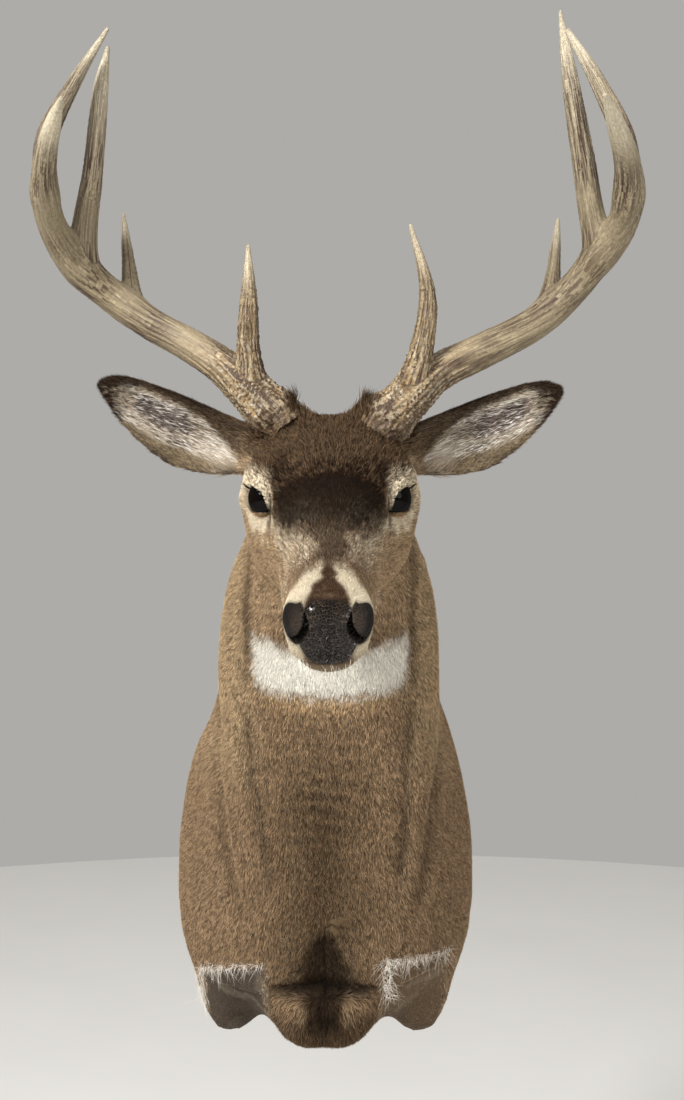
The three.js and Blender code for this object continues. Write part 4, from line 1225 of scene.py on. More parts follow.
def hair_mesh(name, arrays):
    points, faces, tones, uv = arrays
    points[:, 1] = np.minimum(points[:, 1], WALL_GAP)
    mesh = drawn_mesh(name, points, faces)
    paint(mesh, "tone", tones)
    layer = mesh.uv_layers.new(name="OFBake")
    layer.data.foreach_set("uv", uv[faces.ravel()].astype(np.float32).ravel())
    return mesh


class Skin:
    """The finished skin's faces, for growing hair on."""

    def __init__(self, mesh):
        mesh.calc_loop_triangles()
        corners = np.empty(len(mesh.loop_triangles) * 3, np.int32)
        mesh.loop_triangles.foreach_get("vertices", corners)
        self.faces = corners.reshape(-1, 3)
        self.points = places(mesh)
        self.norms = normals(mesh)
        middle = self.points[self.faces].mean(1)
        a, b, c = (self.points[self.faces[:, i]] for i in range(3))
        cross = np.cross(b - a, c - a)
        self.areas = np.linalg.norm(cross, axis=1) / 2
        self.middle = middle
        self.facing = unit(cross)
        self.plan = coat_plan(middle, self.facing)

    def scatter(self, where, amount, rng):
        """Even random places on the faces chosen, as points and normals."""
        want = self.areas * self.plan[3] * where * amount
        total = int(want.sum())
        heap = np.cumsum(want)
        picks = (np.arange(total) + rng.random(total)) / total * heap[-1]
        chosen = np.searchsorted(heap, picks).clip(0, len(want) - 1)
        r1, r2 = np.sqrt(rng.random(total)), rng.random(total)
        share = np.stack((1 - r1, r1 * (1 - r2), r1 * r2), axis=1)[:, :, None]
        corner = self.faces[chosen]
        return (self.points[corner] * share).sum(1), unit((self.norms[corner] * share).sum(1))


def coat_regions(middle):
    """Each coat piece's name, the faces it grows on, its tufts' segments and the kind of its map."""
    t, turn, _ = section_place(middle)
    s, x, h = to_head(middle).T
    head = head_share(middle) > 0.5
    ear = ear_share(middle) > 0.5
    face = head & ~ear
    top = face & (s < 22) & (h > 4)
    face = face & ~top
    neck = ~head & ~ear & (t > 5.6)
    trunk = ~head & ~ear & ~neck
    front = np.abs(turn) > 1.75
    low = middle[:, 2] < -262
    return (
        ("coat_face_right", face & (x < 0), 1, "head"),
        ("coat_face_left", face & (x >= 0), 1, "head"),
        ("coat_crown", top, 2, "head"),
        ("coat_ear_right", ear & (x < 0), 1, "ear"),
        ("coat_ear_left", ear & (x >= 0), 1, "ear"),
        ("coat_throat", neck & front, 1, "body"),
        ("coat_neck_right", neck & ~front & (x < 0), 1, "body"),
        ("coat_neck_left", neck & ~front & (x >= 0), 1, "body"),
        ("coat_brisket", trunk & low, 1, "body"),
        ("coat_chest", trunk & ~low & front, 1, "body"),
        ("coat_shoulder_right", trunk & ~low & ~front & (x < 0), 1, "body"),
        ("coat_shoulder_left", trunk & ~low & ~front & (x >= 0), 1, "body"),
    )


def map_places(points, norms, kind):
    """Where roots lie on an unwrap of the skin: round and along the head, the body or an ear."""
    if kind == "head":
        s, x, h = to_head(points).T
        return spread(np.arctan2(x, h + 34)), spread(s)
    if kind == "ear":
        sign = np.sign(points[:, 0].mean())
        side = "left" if sign > 0 else "right"
        root, _, axis, across, facing = ear_axes(side, sign)
        inside = norms @ facing > 0
        a, b = (points - root) @ axis, (points - root) @ across
        halves = spread(b, 0.004, 0.496), spread(b, 0.504, 0.996)
        return np.where(inside, *halves), spread(a)
    t, turn, _ = section_place(points)
    turn = np.where(turn < 0, turn + 2 * math.pi, turn) if np.abs(turn).min() > 1.0 else turn
    return spread(turn), spread(t)


def clump_pull(points, norms, size, seed):
    """For each root, the way to its clump's middle, laid on the skin, and the clump's own chance."""
    warped = points + 2.0 * np.stack([ripple(points, 9, seed + i) for i in range(3)], axis=1)
    cell = np.floor(warped / size).astype(np.int64)
    code = cell_code(*cell.T)
    chance = [((code * prime) % 1009) / 1009.0 for prime in (7919, 6131, 5413, 4177)]
    middle = (cell + 0.25 + 0.5 * np.stack(chance[:3], axis=1)) * size
    pull = middle - warped
    return pull - norms * dot(pull, norms)[:, None], chance[3]


def tuft_tones(points, norms, segments, rng):
    """Banded colours along each tuft: darker root, then a light or a dark tip on grizzled hair."""
    mean = markings(points, norms, 1.0)
    light = mean @ np.array((0.21, 0.72, 0.07))
    grizzle = 1 - 0.85 * smooth(0.24, 0.55, light)
    grizzle *= 1 - 0.7 * smooth(118, 130, to_head(points)[:, 0]) * (head_share(points) > 0.5)
    count = len(points)
    fleck = clump_pull(points, norms, 1.5, 77)[1] - 0.5
    tone = 1 + grizzle * (0.55 * rng.normal(size=count) + 1.3 * fleck) + 0.2 * rng.normal(size=count)
    base = mean * np.clip(tone, 0.25, 2.0)[:, None]
    chance = rng.random(count)
    pale = grizzle * (chance < 0.36) * rng.uniform(0.4, 1.0, count)
    dark = grizzle * (chance > 0.72) * rng.uniform(0.3, 0.7, count)
    glow = (0.09 + 0.12 * smooth(0.12, 0.03, light)) * np.clip(light * 14, 0, 1)
    buff = base * 1.6 + linear("#d8cbb0") * glow[:, None]
    tip = mix(base, buff, pale)
    tip = tip * (1 - dark)[:, None]
    root = base * (0.5 + 0.35 * (1 - grizzle))[:, None]
    middle = mix(root, base * 1.08, np.full(count, 0.9))
    return np.stack([root, *[middle] * (segments - 1), tip], axis=1)


CLUMP_SIZE = 2.2


def make_coat_piece(skin, name, where, segments, kind, amount, seed):
    rng = np.random.default_rng(seed)
    root, norm = skin.scatter(where, amount, rng)
    length, width, lift, _ = coat_plan(root, norm)
    count = len(root)
    length = length * rng.uniform(0.7, 1.25, count)
    width = width * rng.uniform(0.7, 1.3, count)
    pull, clump = clump_pull(root, norm, CLUMP_SIZE, seed)
    way = lie_of_coat(root, norm)
    swirl = 0.10 * ripple(root, 30, seed + 11) + 0.16 * ripple(root, 6, seed + 12)
    way = turned(way, norm, swirl + 0.2 * rng.normal(size=count))
    way = unit(way * length[:, None] + 0.4 * pull)
    lift = lift * (0.8 + 0.4 * clump) * rng.uniform(0.7, 1.3, count)
    tones = tuft_tones(root, norm, segments, rng)
    patch = map_places(root, norm, kind)
    return hair_mesh(name, blades(root, norm, way, length, width, lift, tones, segments, rng, patch))


# ---------------------------------------------------------------- eyes, lashes and whiskers


def make_eye(sign):
    """A glass eye: near-black, with a brown iris round a wide pupil and a slightly domed front."""
    bm = bmesh.new()
    bmesh.ops.create_uvsphere(bm, u_segments=56, v_segments=36, radius=1.0)
    mesh = bpy.data.meshes.new("eye")
    bm.to_mesh(mesh)
    bm.free()
    centre, along, up, outward = eye_axes(sign)
    ball = places(mesh) * MM
    dome = np.exp(-((1 - ball[:, 2]) / 0.22) ** 2)
    size = (EYE_RADIUS - 0.15) + 0.5 * dome
    put_places(mesh, centre + (ball @ np.stack((along, up, outward))) * size[:, None])
    u, v = ball[:, 0] * EYE_RADIUS, ball[:, 1] * EYE_RADIUS
    pupil = smooth(1.1, 0.9, np.hypot(u / 8.2, v / 4.6))
    iris = smooth(12.4, 11.2, np.hypot(u, v)) * (ball[:, 2] > 0)
    tone = mix(np.tile(linear("#040303"), (len(u), 1)), linear("#060302"), iris)
    tone = mix(tone, linear("#010102"), pupil * (ball[:, 2] > 0))
    paint(mesh, "tone", tone)
    if np.linalg.det(np.stack((along, up, outward))) < 0:
        mesh.flip_normals()
    mesh.shade_smooth()
    return mesh


MAP_COLUMNS = 16  # how many stiff hairs lie side by side on their map


def spikes(root, way, bend, length, radius, tone, segments=4):
    """Thin three-sided tapering hairs that curve towards a bend."""
    count = len(root)
    way = unit(way)
    side = unit(np.cross(way, bend + 1e-3))
    other = np.cross(way, side)
    rows = []
    for k in range(segments):
        a = k / segments
        middle = root + (way * a + bend * a * a * 0.5) * length[:, None]
        for j in range(3):
            angle = 2 * math.pi * j / 3
            spoke = side * math.cos(angle) + other * math.sin(angle)
            rows.append(middle + spoke * (radius * (1 - 0.8 * a))[:, None])
    rows.append(root + (way + bend * 0.5) * length[:, None])
    points = np.stack(rows, axis=1)
    corners = points.shape[1]
    faces = []
    for k in range(segments - 1):
        for j in range(3):
            a, b = 3 * k + j, 3 * k + (j + 1) % 3
            faces += [(a, b, b + 3), (a, b + 3, a + 3)]
    top = 3 * (segments - 1)
    faces += [(top + j, top + (j + 1) % 3, corners - 1) for j in range(3)]
    faces.append((2, 1, 0))
    faces = np.arange(count)[:, None, None] * corners + np.array(faces)[None]
    tones = np.repeat(np.broadcast_to(tone, (count, 3))[:, None], corners, axis=1)
    uv = np.zeros((count, corners, 2))
    column = (np.arange(count) % MAP_COLUMNS + 0.5) / MAP_COLUMNS
    row = (np.arange(count) // MAP_COLUMNS + 0.5) / (count // MAP_COLUMNS + 1)
    uv[:, :, 0] = column[:, None] + np.tile((0, PATCH, PATCH / 2), corners)[:corners] * 4
    uv[:, :, 1] = row[:, None] + np.linspace(0, 0.02, corners)
    return points.reshape(-1, 3), faces.reshape(-1, 3), tones.reshape(-1, 3), uv.reshape(-1, 2)


def join_arrays(parts):
    """Several sets of (points, faces, colours, map places) as one."""
    points, faces, tones, uv = zip(*parts)
    starts = np.cumsum([0] + [len(p) for p in points[:-1]])
    faces = [f + start for f, start in zip(faces, starts)]
    return tuple(np.vstack(rows) for rows in (points, faces, tones, uv))


def make_lashes(rng):
    """Short dark lashes along each upper lid, longest at its rear, and a few below."""
    parts = []
    for _, sign in SIDES:
        centre, along, up, outward = eye_axes(sign)
        for count, top, long, first, last in ((60, 1, 6.5, 186, 40), (22, -1, 3.0, 196, 280)):
            angle = np.radians(np.linspace(first, last, count) + rng.uniform(-1, 1, count))
            ray = np.stack((np.cos(angle), np.sin(angle)), axis=1)
            reach = -lid_edge(ray[:, 0] * 0.01 + LID_MIDDLE[0], ray[:, 1] * 0.01 + LID_MIDDLE[1])
            u, v = (ray * (reach + 0.3)[:, None] + LID_MIDDLE).T
            w = np.sqrt(np.clip((EYE_RADIUS + 1.2) ** 2 - u ** 2 - v ** 2, 4, None))
            root = centre + u[:, None] * along + (v + 0.5 * top)[:, None] * up + w[:, None] * outward
            out = unit(root - centre)
            way = out + along * (-0.5 - 0.02 * u)[:, None] + up * (0.15 * top)
            way = way + 0.12 * rng.normal(size=(count, 3))
            bend = np.tile(up * (0.4 * top) - along * 0.3, (count, 1))
            length = long * (0.35 + 0.65 * smooth(4, -10, u)) * rng.uniform(0.6, 1.2, count)
            parts.append(spikes(root, way, bend, length, np.full(count, 0.2), linear("#120d0a")))
    return hair_mesh("lashes", join_arrays(parts))


def make_whiskers(skin, rng):
    """Sparse stiff whiskers on the lips and the chin."""
    s, x, h = to_head(skin.middle).T
    line = h - mouth_height(s)
    haired = nose_mask(to_head(skin.middle)) < 0.1
    lips = (s > 118) & (s < 168) & (np.abs(line) > 2.5) & (line < 20) & (line > -26) & haired
    chin = (s > 156) & (h < -36) & (np.abs(x) < 26) & haired
    parts = []
    down = np.array((0, 0, -1.0))
    groups = (
        (lips & (line > 0), 46, 14.0, "#2a221d", HEAD_FORWARD),
        (lips & (line < -2), 70, 11.0, "#f0e9dc", HEAD_FORWARD),
        (chin, 44, 13.0, "#f0e9dc", down),
    )
    for where, count, long, colour, lean in groups:
        want = skin.areas * where
        chosen = rng.choice(len(want), count, p=want / want.sum())
        root = skin.middle[chosen]
        norm = skin.facing[chosen]
        way = norm + laid(lean + 0.3 * rng.normal(size=(count, 3)), norm) * 0.8
        bend = np.tile(np.array((0, 0, -0.5)), (count, 1)) - norm * 0.2
        length = long * rng.uniform(0.5, 1.3, count)
        parts.append(spikes(root - norm * 0.3, way, bend, length, np.full(count, 0.17), linear(colour)))
    return hair_mesh("whiskers", join_arrays(parts))


WHORL = (4.0, -258.0, -226.0)


def make_pocket_fringe(skin, rng):
    """Long loose white hairs along the tops of the leg pockets, and a curl at the chest's whorl."""
    parts = []
    px, py, pz = skin.middle.T
    count = 420
    for sign, inner, top, slope in POCKETS:
        aside = (px - CHEST_MIDDLE) * sign
        line = pz - top - slope * (aside - inner)
        edge = 134 if sign < 0 else inner + 6
        want = skin.areas * bell(line, 1, 2.5) * smooth(inner - 6, inner + 6, aside)
        want = want * (aside < 136) * (py < -60)
        want = want + 0.5 * skin.areas * bell(aside, edge, 4) * (line < 0) * (line > -50) * (py < -60)
        chosen = rng.choice(len(want), count, p=want / want.sum())
        root, norm = skin.middle[chosen] + rng.uniform(-1, 1, (count, 3)), skin.facing[chosen]
        lean = np.array((0.5 * sign, -0.2, -0.8)) + 0.5 * rng.normal(size=(count, 3))
        way = laid(lean, norm) + 0.25 * norm
        bend = 0.9 * rng.normal(size=(count, 3)) + np.array((0.0, 0.0, -0.3))
        length = rng.uniform(6, 17, count)
        parts.append(spikes(root, way, bend, length, np.full(count, 0.17), linear("#e9e2d6")))
    count = 260
    near = np.linalg.norm(skin.middle - np.array(WHORL), axis=1) < 10
    chosen = rng.choice(len(near), count, p=near * skin.areas / (near * skin.areas).sum())
    norm = skin.facing[chosen]
    aside = laid(rng.uniform(-4, 4, (count, 3)), norm)
    root = skin.middle[chosen] + aside * rng.uniform(0, 3.5, (count, 1))
    way = laid(np.array((0.9, 0, 0.6)) + 0.25 * rng.normal(size=(count, 3)), norm) + 0.5 * norm
    bend = np.array((-0.2, 0, -1.1)) + 0.2 * rng.normal(size=(count, 3))
    length = rng.uniform(7, 12, count)
    parts.append(spikes(root, way, bend, length, np.full(count, 0.3), linear("#6b5943")))
    return hair_mesh("pocket_fringe", join_arrays(parts))


def make_ear_fringe(skin, side, sign, rng):
    """Long pale hair inside an ear, from its edges and base towards the tip."""
    _, _, axis, across, facing = ear_axes(side, sign)
    a, off = ear_place(skin.middle, side, sign)
    inside = (skin.facing @ facing > 0.15) & (ear_share(skin.middle) > 0.4) & (skin.middle[:, 0] * sign > 0)
    thick = 0.15 + bell(off, 0.5, 0.22) + 0.8 * bell(off, -0.4, 0.25) + 0.9 * smooth(0.25, 0.02, a)
    want = inside * skin.areas * thick
    want = want * smooth(0.98, 0.8, a) * smooth(0.0, -0.08, off - ear_fold(a))
    count = 2400
    chosen = rng.choice(len(want), count, p=want / want.sum())
    at, norm = skin.middle[chosen] + rng.uniform(-0.8, 0.8, (count, 3)), skin.facing[chosen]
    at = at - norm * dot(at - skin.middle[chosen], norm)[:, None]
    here, there = a[chosen], off[chosen]
    inward = 0.75 * there * smooth(0.3, 0.9, np.abs(there))
    way = axis * 1.0 - across * inward[:, None] + 0.12 * rng.normal(size=(count, 3))
    way = laid(way, norm) + norm * 0.25
    long = (9 + 12 * smooth(0.4, 0.05, here)) * rng.uniform(0.6, 1.25, count) * smooth(1.05, 0.75, here)
    chance = 0.85 * rng.random(count) ** 2
    chance = chance * smooth(0.88, 0.7, here) * smooth(0.75, 0.5, np.abs(there))
    pale = mix(markings(at, norm), linear("#efe9de"), chance)
    tones = np.stack((pale * 0.6, pale * 0.95, pale), axis=1)
    patch = map_places(at, norm, "ear")
    width, lift = rng.uniform(0.35, 0.6, count), np.full(count, 0.22)
    return blades(at, norm, laid(way, norm), long, width, lift, tones, 2, rng, patch)


# ---------------------------------------------------------------- materials

PEBBLES = 450.0  # pebbles of the nose leather per metre


def add_node(tree, kind, settings=None, **inputs):
    """Adds a node, sets its properties, and gives each input a value or links it to a socket."""
    node = tree.nodes.new(f"ShaderNode{kind}")
    for key, value in (settings or {}).items():
        setattr(node, key, value)
    for key, value in inputs.items():
        by_number = key[0] == "i" and key[1:].isdigit()
        socket = node.inputs[int(key[1:]) if by_number else key.replace("_", " ")]
        if isinstance(value, bpy.types.NodeSocket):
            tree.links.new(value, socket)
        else:
            socket.default_value = value
    return node


def new_material(name, **shader):
    """A new material with only a shader node, its tree and that node."""
    material = bpy.data.materials.new(name)
    material.use_nodes = True
    tree = material.node_tree
    tree.nodes.clear()
    surface = add_node(tree, "BsdfPrincipled", None, **shader)
    output = add_node(tree, "OutputMaterial")
    tree.links.new(surface.outputs["BSDF"], output.inputs["Surface"])
    return material, tree, surface


def rgba(hex_colour):
    return (*linear(hex_colour), 1.0)


def painted(tree, name, output="Fac"):
    """A named attribute of the mesh."""
    return add_node(tree, "Attribute", {"attribute_name": name}).outputs[output]


def own_places(tree):
    """The object's own coordinates."""
    return add_node(tree, "TexCoord").outputs["Object"]


def noise_at(tree, where, scale, detail, **more):
    return add_node(tree, "TexNoise", None, Vector=where, Scale=scale, Detail=detail, **more).outputs["Fac"]


def ranged(tree, value, low, high, to_low, to_high):
    """A value's range from low to high moved to another range, and held inside it."""
    node = add_node(tree, "MapRange", None, Value=value, i1=low, i2=high, i3=to_low, i4=to_high)
    return node.outputs["Result"]


def times(tree, a, b):
    return add_node(tree, "Math", {"operation": "MULTIPLY"}, i0=a, i1=b).outputs["Value"]


def blended(tree, share, a, b):
    """One colour moved towards another by a share."""
    return add_node(tree, "Mix", {"data_type": "RGBA"}, i0=share, i6=a, i7=b).outputs[2]


def shaded(tree, colour, level):
    """A colour multiplied by a grey level."""
    grey = add_node(tree, "CombineColor", None, Red=level, Green=level, Blue=level).outputs["Color"]
    settings = {"data_type": "RGBA", "blend_type": "MULTIPLY"}
    return add_node(tree, "Mix", settings, i0=1.0, i6=colour, i7=grey).outputs[2]


def ramped(tree, value, low, high, low_at=0.0, high_at=1.0):
    """A colour between two, by a value between two places of a ramp."""
    ramp = add_node(tree, "ValToRGB", None, Fac=value)
    for element, colour, place in zip(ramp.color_ramp.elements, (low, high), (low_at, high_at)):
        element.position = place
        element.color = rgba(colour)
    return ramp.outputs["Color"]


def toned(tree, scale, low, high, detail=3.0):
    """The painted tone, varied light and dark by noise of a scale (lumps per metre)."""
    tone = painted(tree, "tone", "Color")
    where = own_places(tree)
    lumps = noise_at(tree, where, scale, detail)
    return shaded(tree, tone, ranged(tree, lumps, 0.3, 0.7, low, high)), lumps, where


def bumped(tree, surface, height, strength, distance):
    bump = add_node(tree, "Bump", None, Height=height, Strength=strength, Distance=distance)
    tree.links.new(bump.outputs["Normal"], surface.inputs["Normal"])


def hide_material():
    """Haired hide, bare and glossy where the nose pad and the lids' margins are."""
    material, tree, surface = new_material("tanned hide and nose leather", Roughness=0.8)
    surface.inputs["Specular IOR Level"].default_value = 0.08
    colour, _, where = toned(tree, 650.0, 0.72, 1.22)
    bare = painted(tree, "bare")
    tree.links.new(ranged(tree, bare, 0.0, 1.0, 0.95, 0.22), surface.inputs["Roughness"])
    pebbles = add_node(tree, "TexVoronoi", {"feature": "F1"}, Vector=where, Scale=PEBBLES)
    gaps = add_node(tree, "TexVoronoi", {"feature": "DISTANCE_TO_EDGE"}, Vector=where, Scale=PEBBLES)
    line = ranged(tree, gaps.outputs["Distance"], 0.02, 0.09, 0.16, 0.0)
    netted = blended(tree, times(tree, line, bare), colour, rgba("#857058"))
    tree.links.new(netted, surface.inputs["Base Color"])
    dome = ranged(tree, pebbles.outputs["Distance"], 0.1, 0.7, 1.0, 0.0)
    nap = noise_at(tree, where, 1500.0, 2.0)
    height = add_node(tree, "Mix", {"data_type": "FLOAT"}, i0=bare, i2=nap, i3=dome).outputs[0]
    bumped(tree, surface, height, 1.0, 0.0055)
    tree.links.new(times(tree, bare, 0.28), surface.inputs["Coat Weight"])
    tree.links.new(surface.inputs["Normal"].links[0].from_socket, surface.inputs["Coat Normal"])
    surface.inputs["Coat Roughness"].default_value = 0.1
    return material


def hair_material():
    material, tree, surface = new_material("deer hair", Roughness=0.7)
    surface.inputs["Specular IOR Level"].default_value = 0.03
    colour, _, _ = toned(tree, 900.0, 0.86, 1.14)
    tree.links.new(colour, surface.inputs["Base Color"])
    return material


def eye_material():
    material, tree, surface = new_material("glass eye", Roughness=0.3)
    surface.inputs["Specular IOR Level"].default_value = 0.0
    surface.inputs["Coat Weight"].default_value = 0.16
    surface.inputs["Coat IOR"].default_value = 1.5
    surface.inputs["Coat Roughness"].default_value = 0.01
    colour, _, _ = toned(tree, 1200.0, 0.6, 1.4)
    tree.links.new(colour, surface.inputs["Base Color"])
    return material


def antler_material():
    """Weathered bone, with fine dark cracks that run along each limb."""
    material, tree, surface = new_material("weathered antler", Roughness=0.5)
    surface.inputs["Specular IOR Level"].default_value = 0.35
    colour, lumps, _ = toned(tree, 420.0, 0.78, 1.18, detail=6.0)
    flow = painted(tree, "flow", "Vector")
    grain = noise_at(tree, flow, 0.45, 5.0, Roughness=0.66, Distortion=0.8)
    fine = noise_at(tree, flow, 1.3, 2.0)
    deep = ranged(tree, grain, 0.54, 0.44, 0.0, 1.0)
    streaked = shaded(tree, colour, ranged(tree, fine, 0.3, 0.7, 0.72, 1.28))
    cracked = blended(tree, times(tree, deep, painted(tree, "crack")), streaked, rgba("#3a2818"))
    tree.links.new(cracked, surface.inputs["Base Color"])
    tree.links.new(ranged(tree, lumps, 0.3, 0.7, 0.38, 0.62), surface.inputs["Roughness"])
    bumped(tree, surface, grain, 0.8, 0.0022)
    return material


def plywood_material():
    """Plywood: streaked face grain, with thin darker plies along its edges."""
    material, tree, surface = new_material("sanded plywood", Roughness=0.7)
    where = own_places(tree)
    long = add_node(tree, "Mapping", None, Vector=where, Scale=(60.0, 60.0, 5.0)).outputs["Vector"]
    grain = noise_at(tree, long, 1.0, 8.0, Distortion=1.2)
    face = ramped(tree, grain, "#9c7442", "#d9b988", 0.36, 0.66)
    bands = {"wave_type": "BANDS", "bands_direction": "Y"}
    plies = add_node(tree, "TexWave", bands, Vector=where, Scale=78.0, Distortion=0.6).outputs["Fac"]
    shade = ranged(tree, plies, 0.0, 1.0, 0.72, 1.06)
    facing = add_node(tree, "SeparateXYZ", None, Vector=add_node(tree, "NewGeometry").outputs["Normal"])
    flat = add_node(tree, "Math", {"operation": "ABSOLUTE"}, i0=facing.outputs["Y"]).outputs["Value"]
    level = add_node(tree, "Mix", {"data_type": "FLOAT"}, i0=flat, i2=shade, i3=1.0).outputs[0]
    tree.links.new(shaded(tree, face, level), surface.inputs["Base Color"])
    bumped(tree, surface, grain, 0.25, 0.0005)
    return material


def zinc_material():
    material, tree, surface = new_material("zinc-plated steel", Roughness=0.38, Metallic=1.0)
    spangle = add_node(tree, "TexVoronoi", {"feature": "F1"}, Vector=own_places(tree), Scale=260.0)
    grey = add_node(tree, "RGBToBW", None, Color=spangle.outputs["Color"]).outputs["Val"]
    tree.links.new(ramped(tree, grey, "#8f9294", "#b9bcbd"), surface.inputs["Base Color"])
    tree.links.new(ranged(tree, grey, 0.0, 1.0, 0.3, 0.46), surface.inputs["Roughness"])
    return material


def floor_material():
    material, tree, surface = new_material("pale matt floor", Roughness=0.9)
    cloud = noise_at(tree, own_places(tree), 2.0, 2.0)
    tree.links.new(ramped(tree, cloud, "#dcdad6", "#e4e2de"), surface.inputs["Base Color"])
    return material


# ---------------------------------------------------------------- the add-on

CAMERA_PLACE = (0.011, -1.583, 0.150)
CAMERA_LENS = 43.17
LIGHT_AIM = (0.0, -0.3, 0.1)
# Each light's name, place, size and power.
LIGHTS = (
    ("key", (-2.2, -3.7, 2.7), 1.1, 400.0),
    ("fill", (3.0, -4.0, 1.2), 2.8, 115.0),
    ("top", (0.2, -0.9, 4.0), 1.6, 40.0),
    ("catch", (-1.62, -1.85, 0.85), 0.25, 12.0),
)
FLOOR_RADIUS = 4.5
BOARD_PARTS = ("backboard", "hanger_plate", "hanger_screw_lower", "hanger_screw_upper")


class BuckMountSettings(bpy.types.PropertyGroup):
    coat_amount: bpy.props.FloatProperty(
        name="Coat amount", description="How many tufts grow, as a share of the full coat", default=1.0,
        min=0.05, max=1.2, subtype="FACTOR",
    )
    seed: bpy.props.IntProperty(name="Seed", description="Seed of the coat's chance", default=7)
    floor_level: bpy.props.FloatProperty(
        name="Floor level", description="Height of the floor under the mount", default=-1.25, unit="LENGTH",
    )


MADE = {}  # the finished skin, for the operators that grow hair on it


def shown(name, mesh, material, replaced=()):
    """Adds a finished piece: its material, the body it rides on and the solids it stands for."""
    mesh.materials.clear()
    mesh.materials.append(material)
    obj = new_object(name, mesh)
    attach(obj, "root")
    if replaced:
        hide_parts(*replaced)
    return obj


class MOUNT_OT_hide(bpy.types.Operator):
    """Make the one skin that stands for all the flesh solids"""

    bl_idname = "mount.hide"
    bl_label = "Hide"

    def execute(self, context):
        mesh = make_skin()
        points, norms = places(mesh), normals(mesh)
        tone = markings(points, norms)
        nose = nose_mask(to_head(points))
        # The skin is painted at 0.72 of the coat's colours, but for the nose and the pale places: a darker
        # undercoat, with painted shade for the gaps between the tufts.
        paint(mesh, "tone", mix(tone * 0.72, tone, np.maximum(nose, smooth(0.5, 0.8, tone.max(1)))))
        nose = nose * (1 - 0.65 * wing_share(points))
        weigh(mesh, "bare", np.maximum(nose, lid_margin(points)))
        mesh.shade_smooth()
        shown("hide", mesh, hide_material(), FLESH)
        MADE["skin"] = Skin(mesh)
        return {"FINISHED"}


class MOUNT_OT_coat(bpy.types.Operator):
    """Grow the coat in tufts on the skin, region by region"""

    bl_idname = "mount.coat"
    bl_label = "Coat"

    def execute(self, context):
        settings = context.scene.buck_mount
        skin = MADE["skin"]
        material = hair_material()
        for i, (name, where, segments, kind) in enumerate(coat_regions(skin.middle)):
            seed = settings.seed + 10 * i
            mesh = make_coat_piece(skin, name, where, segments, kind, settings.coat_amount, seed)
            shown(name, mesh, material)
            print(f"{name}: {len(mesh.polygons)} triangles")
        for i, (side, sign) in enumerate(SIDES):
            arrays = make_ear_fringe(skin, side, sign, np.random.default_rng(settings.seed + 200 + i))
            shown(f"ear_fringe_{side}", hair_mesh("fringe", arrays), material)
        return {"FINISHED"}


class MOUNT_OT_eyes(bpy.types.Operator):
    """Make the glass eyes, the lashes and the whiskers"""

    bl_idname = "mount.eyes"
    bl_label = "Eyes, lashes and whiskers"

    def execute(self, context):
        glass, hair = eye_material(), bpy.data.materials.get("deer hair") or hair_material()
        for side, sign in SIDES:
            shown(f"glass_eye_{side}", make_eye(sign), glass, (f"eye_{side}",))
        seed = context.scene.buck_mount.seed
        rngs = [np.random.default_rng(seed + 300 + i) for i in range(3)]
        shown("lashes", make_lashes(rngs[0]), hair)
        shown("whiskers", make_whiskers(MADE["skin"], rngs[1]), hair)
        shown("pocket_fringe", make_pocket_fringe(MADE["skin"], rngs[2]), hair)
        return {"FINISHED"}


class MOUNT_OT_antlers(bpy.types.Operator):
    """Make the two furrowed and pearled antlers"""

    bl_idname = "mount.antlers"
    bl_label = "Antlers"

    def execute(self, context):
        material = antler_material()
        for side, _ in SIDES:
            names = [f"antler_{side}_{part}" for part in ANTLER_PARTS]
            shown(f"antler_{side}", make_antler(side), material, names)
        return {"FINISHED"}


class MOUNT_OT_board(bpy.types.Operator):
    """Finish the backboard and its hanger, which keep the frame's own solids"""

    bl_idname = "mount.board"
    bl_label = "Backboard and hanger"

    def execute(self, context):
        wood, zinc = plywood_material(), zinc_material()
        for name in BOARD_PARTS:
            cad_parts[name].material_slots[0].material = wood if name == "backboard" else zinc
        return {"FINISHED"}


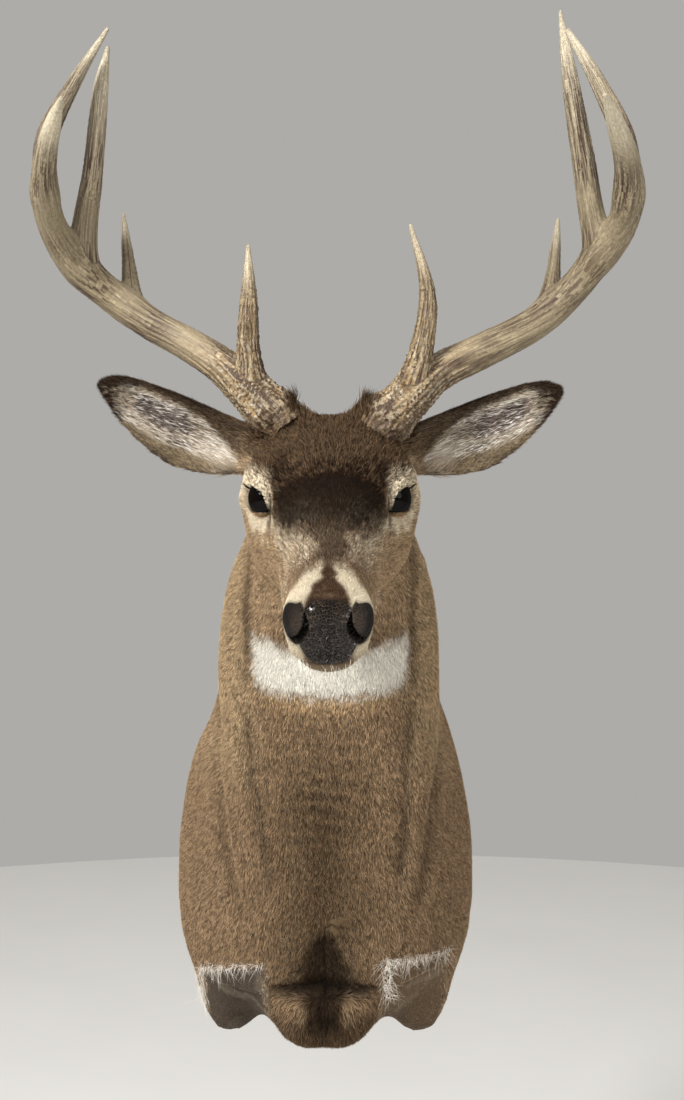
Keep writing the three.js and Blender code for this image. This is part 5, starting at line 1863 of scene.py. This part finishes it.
class MOUNT_OT_stage(bpy.types.Operator):
    """Set up the floor, the soft lights and the camera"""

    bl_idname = "mount.stage"
    bl_label = "Stage"

    def execute(self, context):
        bm = bmesh.new()
        bmesh.ops.create_circle(bm, cap_ends=True, radius=FLOOR_RADIUS, segments=96)
        mesh = bpy.data.meshes.new("floor")
        bm.to_mesh(mesh)
        bm.free()
        mesh.transform(Matrix.Translation((0, 0, context.scene.buck_mount.floor_level)))
        mesh.materials.append(floor_material())
        new_object("floor", mesh)
        world = bpy.data.worlds.new("studio")
        context.scene.world = world
        world.use_nodes = True
        world.node_tree.nodes["Background"].inputs["Color"].default_value = rgba("#e8e6e2")
        world.node_tree.nodes["Background"].inputs["Strength"].default_value = 0.52
        for name, place, size, power in LIGHTS:
            lamp = bpy.data.lights.new(name, "AREA")
            lamp.shape = "DISK"
            lamp.size = size
            lamp.energy = power
            obj = new_object(name, lamp)
            obj.location = place
            obj.rotation_euler = (Vector(LIGHT_AIM) - Vector(place)).to_track_quat("-Z", "Y").to_euler()
        context.scene.view_settings.view_transform = "Standard"
        camera = new_object("camera", bpy.data.cameras.new("camera"))
        camera.location = CAMERA_PLACE
        camera.rotation_euler = (math.pi / 2, 0, 0)
        camera.data.lens = CAMERA_LENS
        camera.data.sensor_width = 36
        context.scene.camera = camera
        return {"FINISHED"}


class VIEW3D_PT_buck_mount(bpy.types.Panel):
    bl_label = "Buck mount"
    bl_idname = "VIEW3D_PT_buck_mount"
    bl_space_type = "VIEW_3D"
    bl_region_type = "UI"
    bl_category = "Buck mount"

    def draw(self, context):
        settings = context.scene.buck_mount
        for key in ("coat_amount", "seed", "floor_level"):
            self.layout.prop(settings, key)
        for operator in OPERATORS:
            self.layout.operator(operator.bl_idname)


OPERATORS = (MOUNT_OT_stage, MOUNT_OT_hide, MOUNT_OT_coat, MOUNT_OT_eyes, MOUNT_OT_antlers, MOUNT_OT_board)


def register():
    for cls in (BuckMountSettings, *OPERATORS, VIEW3D_PT_buck_mount):
        bpy.utils.register_class(cls)
    bpy.types.Scene.buck_mount = bpy.props.PointerProperty(type=BuckMountSettings)


def unregister():
    del bpy.types.Scene.buck_mount
    for cls in (VIEW3D_PT_buck_mount, *reversed(OPERATORS), BuckMountSettings):
        bpy.utils.unregister_class(cls)


def main():
    register()
    bpy.ops.mount.stage()
    bpy.ops.mount.hide()
    bpy.ops.mount.coat()
    bpy.ops.mount.eyes()
    bpy.ops.mount.antlers()
    bpy.ops.mount.board()


if __name__ == "__main__":
    main()
